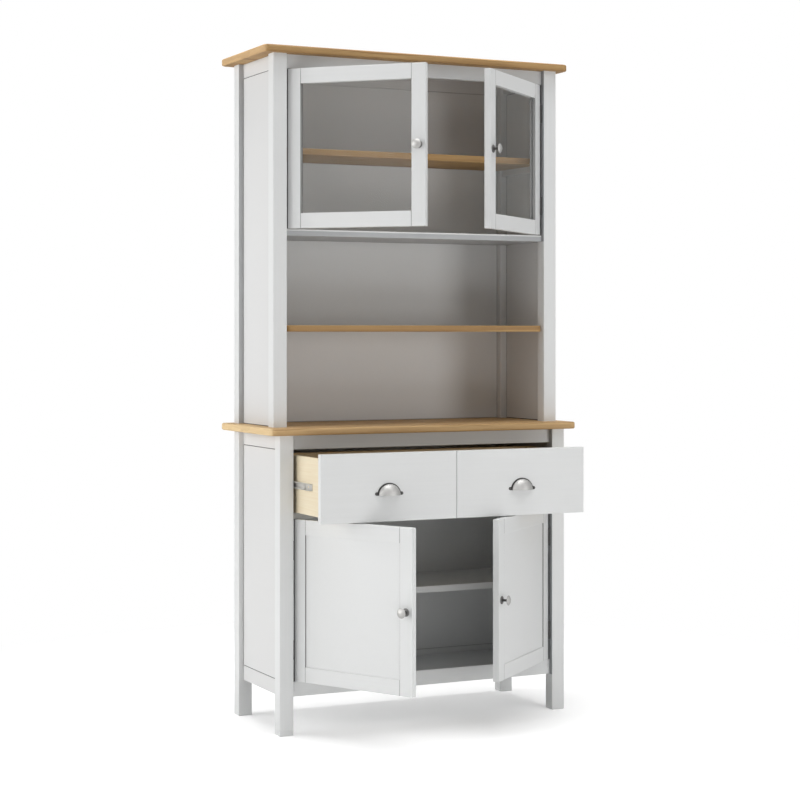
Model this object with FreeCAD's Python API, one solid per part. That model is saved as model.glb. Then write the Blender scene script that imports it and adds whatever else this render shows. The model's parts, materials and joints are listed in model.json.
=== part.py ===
import FreeCAD
import Part
import os

# A dresser with a hutch, in millimetres. +Z is up, the front faces -Y, and +X is to the right as seen
# from the front.
# The origin is on the floor, midway between the legs. The drawer and the doors rest partly open.

Vec = FreeCAD.Vector
UP = Vec(0, 0, 1)
ORIGIN = Vec(0, 0, 0)

# ---- Driving dimensions ------------------------------------------------------------------------------

# Overall
BODY_WIDTH = 902.0            # across the outer faces of the legs
BASE_DEPTH = 352.0            # front of the front legs to the back of the back legs
WORKTOP_HEIGHT = 845.0        # floor to the top of the worktop
TOTAL_HEIGHT = 1902.0         # floor to the top of the top board
HUTCH_SETBACK = 48.0          # the hutch posts stand this far behind the front legs

# Oak boards at the top of the base and of the hutch
BOARD_THICKNESS = 20.0
SIDE_OVERHANG = 32.0
FRONT_OVERHANG = 20.0
BACK_OVERHANG = 30.0
BOARD_CORNER_RADIUS = 18.0
BOARD_EDGE_RADIUS = 5.0

# Legs and posts
POST_WIDTH = 41.0
POST_DEPTH = 38.0
POST_ARRIS = 2.2
FOOT_CHAMFER = 1.5

# Framing
FACE_RECESS = 14.5            # doors, drawer front and front rails lie this far behind the legs' front
SIDE_RECESS = 14.0            # side rails and panels lie this far inside the legs' outer faces
BACK_RECESS = 17.0            # inner face of the back panel, measured from the legs' back
RAIL_THICKNESS = 18.0
BACK_RAIL_THICKNESS = 15.0
BASE_TOP_RAIL_HEIGHT = 40.0
BASE_BOTTOM_RAIL_HEIGHT = 42.0
HUTCH_RAIL_HEIGHT = 40.0
FLOOR_CLEARANCE = 104.0       # floor to the underside of the bottom rails
PANEL_THICKNESS = 6.0
PANEL_SHADOW_GAP = 2.0        # panels' faces stop this far short of the rails
PANEL_RAIL_TONGUE = 5.0       # how far a panel's tongue enters a rail
PANEL_TONGUE_SHOULDER = 1.5
PANEL_END_SHOULDER = 2.0      # tongue's ends short of the posts
EDGE_EASE = 0.9               # small rounding on the edges of every painted board
NOTCH_CLEARANCE = 0.3         # gap between a notched board and a post
HOLE_END_GAP = 0.5            # free length at the end of a dowel, screw or tenon
PAST = 1.0                    # how far a cutter runs past the face that it cuts

# Inner boards
SHELF_THICKNESS = 18.0
FLOOR_THICKNESS = 12.0
FLOOR_DROP = 17.0             # floor board's top below the top of the bottom rails
FLOOR_TONGUE = 4.0            # how far the floor board enters the rails
GROOVE_CLEARANCE = 0.2
DIVIDER_THICKNESS = 16.0
DIVIDER_SETBACK = 1.0         # divider's front behind the lower doors' backs
BASE_SHELF_RISE = 235.0       # top of the bottom rails to the top of the inner shelf
CABINET_FLOOR_THICKNESS = 18.0
CABINET_SHELF_RISE = 229.5    # top of the cabinet floor to the top of the shelf above it
OPEN_SHELF_RISE = 283.0       # top of the worktop to the top of the open shelf
OPEN_SHELF_SETBACK = 3.0      # open shelf's front behind the hutch posts' front
OPEN_SHELF_CORNER = 24.0
OPEN_SHELF_EDGE_RADIUS = 1.8
CLEAT_WIDTH = 16.0
CLEAT_HEIGHT = 18.0

# Dowels
DOWEL_RADIUS = 4.0
DOWEL_LENGTH = 28.0
DOWEL_CLEARANCE = 0.1
SHELF_DOWEL_INSET = 27.0      # dowels between shelves and posts, from the posts' outer faces
DOWEL_STAGGER = 9.0           # keeps the two dowels that meet in one post apart

# Drawer
DRAWER_FRONT_HEIGHT = 186.0
DRAWER_FRONT_THICKNESS = 18.0
DRAWER_TOP_GAP = 3.0          # drawer front to the top rail
DRAWER_SIDE_GAP = 2.5         # drawer front to the legs
DRAWER_GROOVE_WIDTH = 4.0
DRAWER_GROOVE_DEPTH = 4.0
DRAWER_SIDE_THICKNESS = 12.0
DRAWER_SIDE_HEIGHT = 157.0
DRAWER_UNDER_GAP = 4.0        # drawer's sides above the divider
DRAWER_SIDE_LIFT = 16.0       # bottom edge of the drawer's sides above that of its front
DRAWER_BACK_GAP = 17.5        # closed drawer to the back panel
DRAWER_BOTTOM_THICKNESS = 6.0
DRAWER_BOTTOM_LIFT = 10.0
DRAWER_BOTTOM_TONGUE = 5.0
DRAWER_BOTTOM_FIT = 0.1
DRAWER_OPEN = 196.5           # how far the drawer stands open at rest

# Telescopic runners, three channels nested in one another
RUNNER_SPACE = 9.5            # between a post and the drawer's side
RUNNER_HEIGHT = 19.0
RUNNER_WALL = 1.2
RUNNER_CLEARANCE = 0.4
RUNNER_CENTRE_LIFT = 93.0     # runner's centre above the bottom edge of the drawer front
RUNNER_BACK_GAP = 11.0        # runners' back ends to the back panel
RUNNER_START = 36.0           # front ends of the cabinet and middle members, from the legs' front
RUNNER_DRAWER_START = 87.0    # front end of the drawer member, from the legs' front
RUNNER_BATTEN_HEIGHT = 40.0
RUNNER_END_GAP = 5.0          # middle member's back end short of the other members'
RUNNER_SLOT_START = 22.0
RUNNER_SLOT_LENGTH = 9.0
RUNNER_SLOT_WIDTH = 4.5

# Cup handles
CUP_CENTRE_OFFSET = 206.0     # from the middle of the drawer front
CUP_DROP = 5.0                # centre of the cup below the middle of the drawer front
CUP_HALF_WIDTH = 33.0
CUP_HEIGHT = 31.0
CUP_PROJECTION = 22.0
CUP_WALL = 1.6
CUP_FLANGE = 2.6
CUP_FLANGE_THICKNESS = 1.5
CUP_EAR_REACH = 42.0          # middle of the handle to the end of each ear
CUP_EAR_HEIGHT = 9.0
CUP_SCREW_RADIUS = 1.5
CUP_SCREW_LENGTH = 12.0
CUP_SCREW_HEAD_RADIUS = 2.8
CUP_SCREW_HEAD_HEIGHT = 1.4

# Doors
DOOR_THICKNESS = 18.0
UPPER_DOOR_HEIGHT = 443.5
STILE_WIDTH = 41.0
DOOR_RAIL_WIDTH = 42.0
DOOR_CENTRE_GAP = 2.4
DOOR_END_GAP = 1.5            # doors to the boards and rails above and below
LOWER_DOOR_GAP = 2.5          # lower doors to the drawer front
HINGE_GAP = 2.8               # doors to the posts
PANEL_RECESS = 3.5
DOOR_PANEL_THICKNESS = 7.0
PANEL_TONGUE = 7.0
PANEL_FIT = 0.1
GLASS_RECESS = 8.0
GLASS_THICKNESS = 4.0
GLASS_CLEARANCE = 0.5
REBATE_WIDTH = 8.0
TENON_LENGTH = 22.0
TENON_THICKNESS = 5.0
TENON_INSET = 3.0             # tenon's front face behind the door's outer face
TENON_SHOULDER = 6.0
TENON_CLEARANCE = 0.1
UPPER_LEFT_OPEN = 44.8        # how far each door stands open at rest, in degrees
UPPER_RIGHT_OPEN = 40.3
LOWER_LEFT_OPEN = 62.7
LOWER_RIGHT_OPEN = 40.4

# Butt hinges
HINGE_HEIGHT = 50.0
HINGE_END_DISTANCE = 61.0     # door's end to the near end of a hinge
BARREL_RADIUS = 2.6
BARREL_CLEARANCE = 0.3
BARREL_SETOUT = 3.2           # pin axis in front of the door's outer face
LEAF_THICKNESS = 1.1
LEAF_INSET = 2.0              # leaf's inner edge short of the door's and the post's
KNUCKLES = 5
KNUCKLE_GAP = 0.3
PIN_RADIUS = 1.3
PIN_FIT = 0.05
PIN_HEAD_HEIGHT = 1.2
PIN_HEAD_RADIUS = 2.2
LEAF_SCREW_SPACING = 30.0
LEAF_SCREW_RADIUS = 1.4
LEAF_SCREW_HEAD_RADIUS = 2.6
LEAF_SCREW_LENGTH = 14.0
SCREW_CLEARANCE = 0.1

# Knobs
KNOB_PROJECTION = 26.0
KNOB_CAP_RADIUS = 13.8
KNOB_CAP_HEIGHT = 7.0
KNOB_CAP_RIM = 1.6
KNOB_CAP_FLARE = 3.0
KNOB_ROSE_RADIUS = 11.0
KNOB_ROSE_THICKNESS = 2.6
KNOB_ROSE_RIM = 1.3
KNOB_NECK_FLARE = 3.0
KNOB_NECK_RADIUS = 3.4
KNOB_BOLT_RADIUS = 2.0
KNOB_BOLT_HEAD_RADIUS = 4.0
KNOB_BOLT_HEAD_HEIGHT = 2.0
KNOB_BOLT_REACH = 9.0         # how far the bolt enters the knob

# Catches and their strike plates: magnets behind the lower doors, sprung balls over the upper ones
CATCH_WIDTH = 36.0
CATCH_HEIGHT = 16.0
CATCH_DEPTH = 12.0
CATCH_GAP = 0.4
CATCH_OFFSET = 26.0           # centre of a catch from the middle of the cabinet
BALL_CATCH_RADIUS = 4.5
BALL_CATCH_LENGTH = 14.0
BALL_RADIUS = 3.2
BALL_CLEARANCE = 0.5          # ball to the top edge of the closed door
STRIKE_RADIUS = 6.0
STRIKE_THICKNESS = 1.0

# Wall brackets
BRACKET_SPACING = 600.0
BRACKET_WIDTH = 24.0
BRACKET_THICKNESS = 2.0
BRACKET_DROP = 32.0
BRACKET_HOLE_RADIUS = 2.5
BRACKET_HOLE_DROP = 19.0
BRACKET_SCREW_RADIUS = 1.8
BRACKET_SCREW_HEAD_RADIUS = 3.6
BRACKET_SCREW_HEAD_HEIGHT = 1.4
BRACKET_SCREW_LENGTH = 12.0

# ---- Places that follow from them --------------------------------------------------------------------

HALF = BODY_WIDTH / 2                          # outer face of a leg
POST_IN = HALF - POST_WIDTH                    # inner face of a leg
FRONT = -BASE_DEPTH / 2
BACK = BASE_DEPTH / 2
HUTCH_FRONT = FRONT + HUTCH_SETBACK
BASE_TOP = WORKTOP_HEIGHT - BOARD_THICKNESS
HUTCH_TOP = TOTAL_HEIGHT - BOARD_THICKNESS
SIDE_OUT = HALF - SIDE_RECESS                  # outer face of the side rails and panels
SIDE_IN = SIDE_OUT - PANEL_THICKNESS           # inner face of the side panels
BACK_IN = BACK - BACK_RECESS                   # inner face of the back panels and back rails
BASE_TOP_RAIL_Z = BASE_TOP - BASE_TOP_RAIL_HEIGHT
BOTTOM_RAIL_TOP = FLOOR_CLEARANCE + BASE_BOTTOM_RAIL_HEIGHT
BASE_SHELF_TOP = BOTTOM_RAIL_TOP + BASE_SHELF_RISE
OPEN_SHELF_TOP = WORKTOP_HEIGHT + OPEN_SHELF_RISE
HUTCH_RAIL_Z = HUTCH_TOP - HUTCH_RAIL_HEIGHT
BASE_FACE = FRONT + FACE_RECESS                # outer face of the base's doors
HUTCH_FACE = HUTCH_FRONT + FACE_RECESS         # outer face of the hutch's doors
DRAWER_FRONT_TOP = BASE_TOP_RAIL_Z - DRAWER_TOP_GAP
DRAWER_FRONT_Z = DRAWER_FRONT_TOP - DRAWER_FRONT_HEIGHT
DRAWER_SIDE_Z = DRAWER_FRONT_Z + DRAWER_SIDE_LIFT
LOWER_DOOR_Z = BOTTOM_RAIL_TOP + DOOR_END_GAP
LOWER_DOOR_HEIGHT = DRAWER_FRONT_Z - LOWER_DOOR_GAP - LOWER_DOOR_Z
UPPER_DOOR_Z = HUTCH_RAIL_Z - DOOR_END_GAP - UPPER_DOOR_HEIGHT
CABINET_FLOOR_TOP = UPPER_DOOR_Z - DOOR_END_GAP
CABINET_SHELF_TOP = CABINET_FLOOR_TOP + CABINET_SHELF_RISE
DOOR_WIDTH = POST_IN - HINGE_GAP - DOOR_CENTRE_GAP / 2
DIVIDER_TOP = DRAWER_SIDE_Z - DRAWER_UNDER_GAP
DIVIDER_BOTTOM = DIVIDER_TOP - DIVIDER_THICKNESS
RUNNER_Z = DRAWER_FRONT_Z + RUNNER_CENTRE_LIFT
DRAWER_OUT = POST_IN - RUNNER_SPACE            # outer face of the drawer's sides
DRAWER_BACK_FACE = BASE_FACE + DRAWER_FRONT_THICKNESS
PIN_X = POST_IN - BARREL_RADIUS - BARREL_CLEARANCE
DOOR_EDGE = HINGE_GAP - BARREL_RADIUS - BARREL_CLEARANCE   # door's hinge edge, measured inwards from the pin


# ---- Helpers -----------------------------------------------------------------------------------------

def box(x, y, z):
    """A block between the low and high ends given for each axis."""
    low = Vec(min(x), min(y), min(z))
    size = [abs(pair[1] - pair[0]) for pair in (x, y, z)]
    return Part.makeBox(size[0], size[1], size[2], low)


def edges_along(solid, axis):
    """The straight edges of a solid that run along an axis."""
    found = []
    for edge in solid.Edges:
        if not isinstance(edge.Curve, Part.Line):
            continue
        if abs(edge.tangentAt(edge.FirstParameter).dot(axis)) > 0.999:
            found.append(edge)
    return found


def board(x, y, z, ease=EDGE_EASE):
    """A board with all its edges slightly rounded."""
    solid = box(x, y, z)
    return solid.makeFillet(ease, solid.Edges)


def cylinder(radius, length, base, axis):
    return Part.makeCylinder(radius, length, base, axis)


def mirrored(shape):
    """The same shape on the other side of the middle."""
    return shape.mirror(ORIGIN, Vec(1, 0, 0))


def both_sides(shapes):
    """The shapes given for the right-hand side, with their mirror images."""
    return list(shapes) + [mirrored(shape) for shape in shapes]


def turned_profile(points, axis_point, axis):
    """A solid turned from an outline of points and, between them, three-point arcs."""
    edges = []
    previous = points[0]
    for step in points[1:]:
        if isinstance(step, tuple):
            middle, end = step
            edges.append(Part.Arc(previous, middle, end).toShape())
            previous = end
        else:
            edges.append(Part.LineSegment(previous, step).toShape())
            previous = step
    edges.append(Part.LineSegment(previous, points[0]).toShape())
    face = Part.Face(Part.Wire(edges))
    return face.revolve(axis_point, axis, 360)


nodes = {}                     # node name -> list of solids


def add(name, *solids):
    nodes.setdefault(name, []).extend(solids)


def cut_all(name, cutter):
    """Take a cutter away from every solid of a node."""
    nodes[name] = [solid.cut(cutter) for solid in nodes[name]]


# ---- Legs and hutch posts ----------------------------------------------------------------------------

def post(x_side, y_front, z_low, z_high, foot):
    """A square post with rounded long edges. x_side is -1 for left and 1 for right."""
    solid = box((x_side * POST_IN, x_side * HALF), (y_front, y_front + POST_DEPTH), (z_low, z_high))
    solid = solid.makeFillet(POST_ARRIS, edges_along(solid, UP))
    if foot:
        rim = [edge for edge in solid.Edges if edge.BoundBox.ZMax < z_low + 0.01]
        solid = solid.makeChamfer(FOOT_CHAMFER, rim)
    return solid


for side_name, side in (("left", -1), ("right", 1)):
    add("base_leg_front_" + side_name, post(side, FRONT, 0, BASE_TOP, True))
    add("base_leg_back_" + side_name, post(side, BACK - POST_DEPTH, 0, BASE_TOP, True))
    add("hutch_post_front_" + side_name, post(side, HUTCH_FRONT, WORKTOP_HEIGHT, HUTCH_TOP, False))
    add("hutch_post_back_" + side_name, post(side, BACK - POST_DEPTH, WORKTOP_HEIGHT, HUTCH_TOP, False))


# ---- Oak worktop and top board -----------------------------------------------------------------------

def oak_top(y_front, z_low):
    """An overhanging board with rounded corners and soft edges."""
    reach = HALF + SIDE_OVERHANG
    y_span = (y_front - FRONT_OVERHANG, BACK + BACK_OVERHANG)
    solid = box((-reach, reach), y_span, (z_low, z_low + BOARD_THICKNESS))
    solid = solid.makeFillet(BOARD_CORNER_RADIUS, edges_along(solid, UP))
    rims = [edge for edge in solid.Edges if edge.BoundBox.ZLength < 0.01]
    return solid.makeFillet(BOARD_EDGE_RADIUS, rims)


add("worktop", oak_top(FRONT, BASE_TOP))
add("top_board", oak_top(HUTCH_FRONT, HUTCH_TOP))


# ---- Rails and panels --------------------------------------------------------------------------------

LEG_Y_INNER = (FRONT + POST_DEPTH, BACK - POST_DEPTH)
HUTCH_Y_INNER = (HUTCH_FRONT + POST_DEPTH, BACK - POST_DEPTH)
BASE_RAIL_SPANS = ((BASE_TOP_RAIL_Z, BASE_TOP), (FLOOR_CLEARANCE, BOTTOM_RAIL_TOP))

for span in BASE_RAIL_SPANS:
    side_rail = board((SIDE_OUT - RAIL_THICKNESS, SIDE_OUT), LEG_Y_INNER, span)
    add("base_side_rails", *both_sides([side_rail]))
    add("base_front_rails", board((-POST_IN, POST_IN), (BASE_FACE, BASE_FACE + RAIL_THICKNESS), span))
    add("base_back_rails", board((-POST_IN, POST_IN), (BACK_IN, BACK_IN + BACK_RAIL_THICKNESS), span))

hutch_rail_span = (HUTCH_RAIL_Z, HUTCH_TOP)
hutch_side_rail = board((SIDE_OUT - RAIL_THICKNESS, SIDE_OUT), HUTCH_Y_INNER, hutch_rail_span)
add("hutch_side_rails", *both_sides([hutch_side_rail]))
front_span = (HUTCH_FACE, HUTCH_FACE + RAIL_THICKNESS)
add("hutch_front_rail", board((-POST_IN, POST_IN), front_span, hutch_rail_span))
add("hutch_back_rail", board((-POST_IN, POST_IN), (BACK_IN, BACK_IN + BACK_RAIL_THICKNESS), hutch_rail_span))


def widened(span, by):
    return (span[0] - by, span[1] + by)


def tongued_panel(x, y, z, on_board):
    """A thin panel between two rails, and the groove that its tongue runs in.

    A shadow gap parts its face from the rails. on_board is true where its lower end stands on a board,
    with neither gap nor tongue.
    """
    low = z[0] if on_board else z[0] + PANEL_SHADOW_GAP
    face = board(x, y, (low, z[1] - PANEL_SHADOW_GAP))
    thin_in_x = x[1] - x[0] < y[1] - y[0]
    tongue_x = widened(x, -PANEL_TONGUE_SHOULDER if thin_in_x else -PANEL_END_SHOULDER)
    tongue_y = widened(y, -PANEL_END_SHOULDER if thin_in_x else -PANEL_TONGUE_SHOULDER)
    tongue_low = low + PANEL_END_SHOULDER if on_board else z[0] - PANEL_RAIL_TONGUE
    tongue_z = (tongue_low, z[1] + PANEL_RAIL_TONGUE)
    fit = GROOVE_CLEARANCE
    groove = box(widened(tongue_x, fit), widened(tongue_y, fit), widened(tongue_z, fit))
    return face.fuse(box(tongue_x, tongue_y, tongue_z)), groove


back_panel_y = (BACK_IN, BACK_IN + PANEL_THICKNESS)
for stem, panel_z, on_board in (("base_", (BOTTOM_RAIL_TOP, BASE_TOP_RAIL_Z), False),
                                ("hutch_", (WORKTOP_HEIGHT, HUTCH_RAIL_Z), True)):
    post_gap = HUTCH_Y_INNER if on_board else LEG_Y_INNER
    panel, groove = tongued_panel((SIDE_IN, SIDE_OUT), post_gap, panel_z, on_board)
    add(stem + "side_panels", *both_sides([panel]))
    for cutter in both_sides([groove]):
        cut_all(stem + "side_rails", cutter)
    panel, groove = tongued_panel((-POST_IN, POST_IN), back_panel_y, panel_z, on_board)
    add(stem + "back_panel", panel)
    cut_all("base_back_rails" if stem == "base_" else "hutch_back_rail", groove)


# ---- Inner boards, notched round the posts -----------------------------------------------------------

def post_notches(solid, front_post_y):
    """Cut a board clear of the four posts that it meets. front_post_y is the front posts' front face."""
    gap = NOTCH_CLEARANCE
    tall = (solid.BoundBox.ZMin - PAST, solid.BoundBox.ZMax + PAST)
    for y_low in (front_post_y, BACK - POST_DEPTH):
        notch = box((POST_IN - gap, HALF), (y_low - gap, y_low + POST_DEPTH + gap), tall)
        for cutter in both_sides([notch]):
            solid = solid.cut(cutter)
    return solid


def inner_board(half_width, y_front, top, thickness, front_post_y):
    solid = board((-half_width, half_width), (y_front, BACK_IN), (top - thickness, top))
    return post_notches(solid, front_post_y)


behind_legs = FRONT + POST_DEPTH + NOTCH_CLEARANCE
behind_posts = HUTCH_FRONT + POST_DEPTH + NOTCH_CLEARANCE
behind_doors = BASE_FACE + DOOR_THICKNESS + DIVIDER_SETBACK
add("base_shelf", inner_board(SIDE_IN, behind_legs, BASE_SHELF_TOP, SHELF_THICKNESS, FRONT))
add("drawer_divider", inner_board(SIDE_IN, behind_doors, DIVIDER_TOP, DIVIDER_THICKNESS, FRONT))
add("cabinet_shelf", inner_board(SIDE_IN, behind_posts, CABINET_SHELF_TOP, SHELF_THICKNESS, HUTCH_FRONT))
cabinet_board = inner_board(SIDE_IN, HUTCH_FACE, CABINET_FLOOR_TOP, CABINET_FLOOR_THICKNESS, HUTCH_FRONT)
add("cabinet_floor", cabinet_board)

# The open shelf has rounded front corners between the posts.
shelf_z = (OPEN_SHELF_TOP - SHELF_THICKNESS, OPEN_SHELF_TOP)
shelf_tongue = box((-POST_IN, POST_IN), (HUTCH_FRONT + OPEN_SHELF_SETBACK, BACK_IN), shelf_z)
front_corners = [edge for edge in edges_along(shelf_tongue, UP) if edge.BoundBox.YMax < 0]
shelf_tongue = shelf_tongue.makeFillet(OPEN_SHELF_CORNER, front_corners)
front_rim = [edge for edge in shelf_tongue.Edges
             if edge.BoundBox.ZLength < 0.01 and edge.BoundBox.YMax < HUTCH_FRONT + POST_DEPTH]
shelf_tongue = shelf_tongue.makeFillet(OPEN_SHELF_EDGE_RADIUS, front_rim)
shelf_wings = box((-SIDE_IN, SIDE_IN), (behind_posts, BACK - POST_DEPTH - NOTCH_CLEARANCE), shelf_z)
add("open_shelf", shelf_tongue.fuse(shelf_wings).removeSplitter())

# The floor board's edges sit in grooves in the four bottom rails.
floor_top = BOTTOM_RAIL_TOP - FLOOR_DROP
floor_x = SIDE_OUT - RAIL_THICKNESS + FLOOR_TONGUE
floor_y = (BASE_FACE + RAIL_THICKNESS - FLOOR_TONGUE, BACK_IN + FLOOR_TONGUE)
floor_z = (floor_top - FLOOR_THICKNESS, floor_top)
add("base_floor", post_notches(box((-floor_x, floor_x), floor_y, floor_z), FRONT))
floor_groove = box((-floor_x - GROOVE_CLEARANCE, floor_x + GROOVE_CLEARANCE),
                   (floor_y[0] - GROOVE_CLEARANCE, floor_y[1] + GROOVE_CLEARANCE),
                   (floor_z[0], floor_z[1]))
for name in ("base_side_rails", "base_front_rails", "base_back_rails"):
    cut_all(name, floor_groove)

# Cleats run between the posts and carry the boards above them.
for top, y_span in ((BASE_SHELF_TOP - SHELF_THICKNESS, LEG_Y_INNER),
                    (DIVIDER_BOTTOM, LEG_Y_INNER),
                    (CABINET_SHELF_TOP - SHELF_THICKNESS, HUTCH_Y_INNER)):
    cleat = board((SIDE_IN - CLEAT_WIDTH, SIDE_IN), y_span, (top - CLEAT_HEIGHT, top))
    add("shelf_cleats", *both_sides([cleat]))


# ---- Dowels ------------------------------------------------------------------------------------------

def dowel(centre, axis, *joined):
    """A dowel at a joint, with its hole cut in each node that it joins."""
    start = centre - axis * (DOWEL_LENGTH / 2)
    hole = cylinder(DOWEL_RADIUS + DOWEL_CLEARANCE, DOWEL_LENGTH + 2 * HOLE_END_GAP,
                    start - axis * HOLE_END_GAP, axis)
    for name in joined:
        cut_all(name, hole)
    add("dowels", cylinder(DOWEL_RADIUS, DOWEL_LENGTH, start, axis))


ALONG_X = Vec(1, 0, 0)
ALONG_Y = Vec(0, 1, 0)
front_rail_y = BASE_FACE + RAIL_THICKNESS / 2
back_rail_y = BACK_IN + BACK_RAIL_THICKNESS / 2
side_rail_x = SIDE_OUT - RAIL_THICKNESS / 2
rail_rows = ((BASE_TOP_RAIL_Z + BASE_TOP_RAIL_HEIGHT / 2, "base_leg_", "base_front_rails", "base_back_rails",
              "base_side_rails", FRONT, front_rail_y),
             (FLOOR_CLEARANCE + BASE_BOTTOM_RAIL_HEIGHT / 2, "base_leg_", "base_front_rails", "base_back_rails",
              "base_side_rails", FRONT, front_rail_y),
             (HUTCH_RAIL_Z + HUTCH_RAIL_HEIGHT / 2, "hutch_post_", "hutch_front_rail", "hutch_back_rail",
              "hutch_side_rails", HUTCH_FRONT, HUTCH_FACE + RAIL_THICKNESS / 2))
for mid_z, stem, front_rail, back_rail, side_rails, post_y, rail_y in rail_rows:
    for side_name, side in (("left", -1), ("right", 1)):
        high = mid_z + DOWEL_STAGGER
        low = mid_z - DOWEL_STAGGER
        front_post = stem + "front_" + side_name
        back_post = stem + "back_" + side_name
        dowel(Vec(side * POST_IN, rail_y, high), ALONG_X, front_post, front_rail)
        dowel(Vec(side * POST_IN, back_rail_y, high), ALONG_X, back_post, back_rail)
        dowel(Vec(side * side_rail_x, post_y + POST_DEPTH, low), ALONG_Y, front_post, side_rails)
        dowel(Vec(side * side_rail_x, BACK - POST_DEPTH, low), ALONG_Y, back_post, side_rails)

# The cabinet floor and the open shelf are dowelled to the posts, and the posts to the worktop.
for side_name, side in (("left", -1), ("right", 1)):
    front_post = "hutch_post_front_" + side_name
    back_post = "hutch_post_back_" + side_name
    for shelf, z in (("cabinet_floor", CABINET_FLOOR_TOP - CABINET_FLOOR_THICKNESS / 2),
                     ("open_shelf", OPEN_SHELF_TOP - SHELF_THICKNESS / 2)):
        dowel(Vec(side * POST_IN, HUTCH_FRONT + SHELF_DOWEL_INSET, z), ALONG_X, front_post, shelf)
        dowel(Vec(side * POST_IN, BACK - SHELF_DOWEL_INSET, z), ALONG_X, back_post, shelf)
    post_x = side * (HALF - POST_WIDTH / 2)
    dowel(Vec(post_x, HUTCH_FRONT + POST_DEPTH / 2, WORKTOP_HEIGHT), UP, front_post, "worktop")
    dowel(Vec(post_x, BACK - POST_DEPTH / 2, WORKTOP_HEIGHT), UP, back_post, "worktop")


# ---- Drawer, built closed and then drawn out ---------------------------------------------------------

drawer_half = POST_IN - DRAWER_SIDE_GAP
front_z = (DRAWER_FRONT_Z, DRAWER_FRONT_TOP)
drawer_front = board((-drawer_half, drawer_half), (BASE_FACE, DRAWER_BACK_FACE), front_z)
groove_points = [Vec(-DRAWER_GROOVE_WIDTH / 2, BASE_FACE, DRAWER_FRONT_Z - PAST),
                 Vec(DRAWER_GROOVE_WIDTH / 2, BASE_FACE, DRAWER_FRONT_Z - PAST),
                 Vec(0, BASE_FACE + DRAWER_GROOVE_DEPTH, DRAWER_FRONT_Z - PAST)]
groove_wire = Part.makePolygon(groove_points + [groove_points[0]])
centre_groove = Part.Face(groove_wire).extrude(Vec(0, 0, DRAWER_FRONT_HEIGHT + 2 * PAST))
add("drawer_front", drawer_front.cut(centre_groove))

side_z = (DRAWER_SIDE_Z, DRAWER_SIDE_Z + DRAWER_SIDE_HEIGHT)
side_y = (DRAWER_BACK_FACE, BACK_IN - DRAWER_BACK_GAP)
drawer_in = DRAWER_OUT - DRAWER_SIDE_THICKNESS
drawer_side = board((drawer_in, DRAWER_OUT), side_y, side_z)
add("drawer_sides", *both_sides([drawer_side]))
back_y = (side_y[1] - DRAWER_SIDE_THICKNESS, side_y[1])
add("drawer_back", board((-drawer_in, drawer_in), back_y, side_z))

bottom_z = DRAWER_SIDE_Z + DRAWER_BOTTOM_LIFT
bottom_x = drawer_in + DRAWER_BOTTOM_TONGUE
bottom_y = (DRAWER_BACK_FACE - DRAWER_BOTTOM_TONGUE, back_y[0] + DRAWER_BOTTOM_TONGUE)
add("drawer_bottom", box((-bottom_x, bottom_x), bottom_y, (bottom_z, bottom_z + DRAWER_BOTTOM_THICKNESS)))
bottom_groove = box((-bottom_x - DRAWER_BOTTOM_FIT, bottom_x + DRAWER_BOTTOM_FIT),
                    (bottom_y[0] - DRAWER_BOTTOM_FIT, bottom_y[1] + DRAWER_BOTTOM_FIT),
                    (bottom_z, bottom_z + DRAWER_BOTTOM_THICKNESS))
for name in ("drawer_front", "drawer_sides", "drawer_back"):
    cut_all(name, bottom_groove)


# ---- Cup handles -------------------------------------------------------------------------------------

def half_ellipse_plate(half_width, height, y, z_base):
    """A flat plate with a straight lower edge and an elliptical upper one."""
    ellipse = Part.Ellipse(ORIGIN, max(half_width, height), min(half_width, height))
    whole = Part.Face(Part.Wire([ellipse.toShape()])).extrude(Vec(0, 0, abs(y[1] - y[0])))
    if height > half_width:
        whole.rotate(ORIGIN, UP, 90)
    whole.rotate(ORIGIN, ALONG_X, 90)
    whole.translate(Vec(0, max(y), z_base))
    above = box((-2 * half_width, 2 * half_width), (min(y) - PAST, max(y) + PAST),
                (z_base, z_base + 2 * height))
    return whole.common(above)


def ellipsoid(half_x, half_y, half_z, centre):
    ball = Part.makeSphere(1.0)
    scale = FreeCAD.Matrix()
    scale.scale(half_x, half_y, half_z)
    ball = ball.transformGeometry(scale)
    ball.translate(centre)
    return ball


def cup_handle():
    """A half-moon cup on its flange, centred on x = 0, its back at y = 0 and its open rim at z = 0."""
    rim = Vec(0, 0, 0)
    outer = ellipsoid(CUP_HALF_WIDTH, CUP_PROJECTION, CUP_HEIGHT, rim)
    hollow = ellipsoid(CUP_HALF_WIDTH - CUP_WALL, CUP_PROJECTION - CUP_WALL, CUP_HEIGHT - CUP_WALL, rim)
    quarter = box((-CUP_EAR_REACH, CUP_EAR_REACH), (-CUP_PROJECTION - PAST, 0), (0, CUP_HEIGHT + PAST))
    flange_y = (-CUP_FLANGE_THICKNESS, 0)
    flange = half_ellipse_plate(CUP_HALF_WIDTH + CUP_FLANGE, CUP_HEIGHT + CUP_FLANGE, flange_y, 0)
    ear_radius = CUP_EAR_HEIGHT / 2
    ear_centre = CUP_EAR_REACH - ear_radius
    ears = box((-ear_centre, ear_centre), flange_y, (0, CUP_EAR_HEIGHT))
    for side in (-1, 1):
        ear_end = Vec(side * ear_centre, 0, ear_radius)
        ears = ears.fuse(cylinder(ear_radius, CUP_FLANGE_THICKNESS, ear_end, -ALONG_Y))
    body = outer.common(quarter).fuse(flange).fuse(ears)
    body = body.cut(hollow)
    for side in (-1, 1):
        hole = cylinder(CUP_SCREW_RADIUS + SCREW_CLEARANCE, CUP_FLANGE_THICKNESS + 2 * PAST,
                        Vec(side * ear_centre, PAST, ear_radius), -ALONG_Y)
        body = body.cut(hole)
    return body


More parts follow.
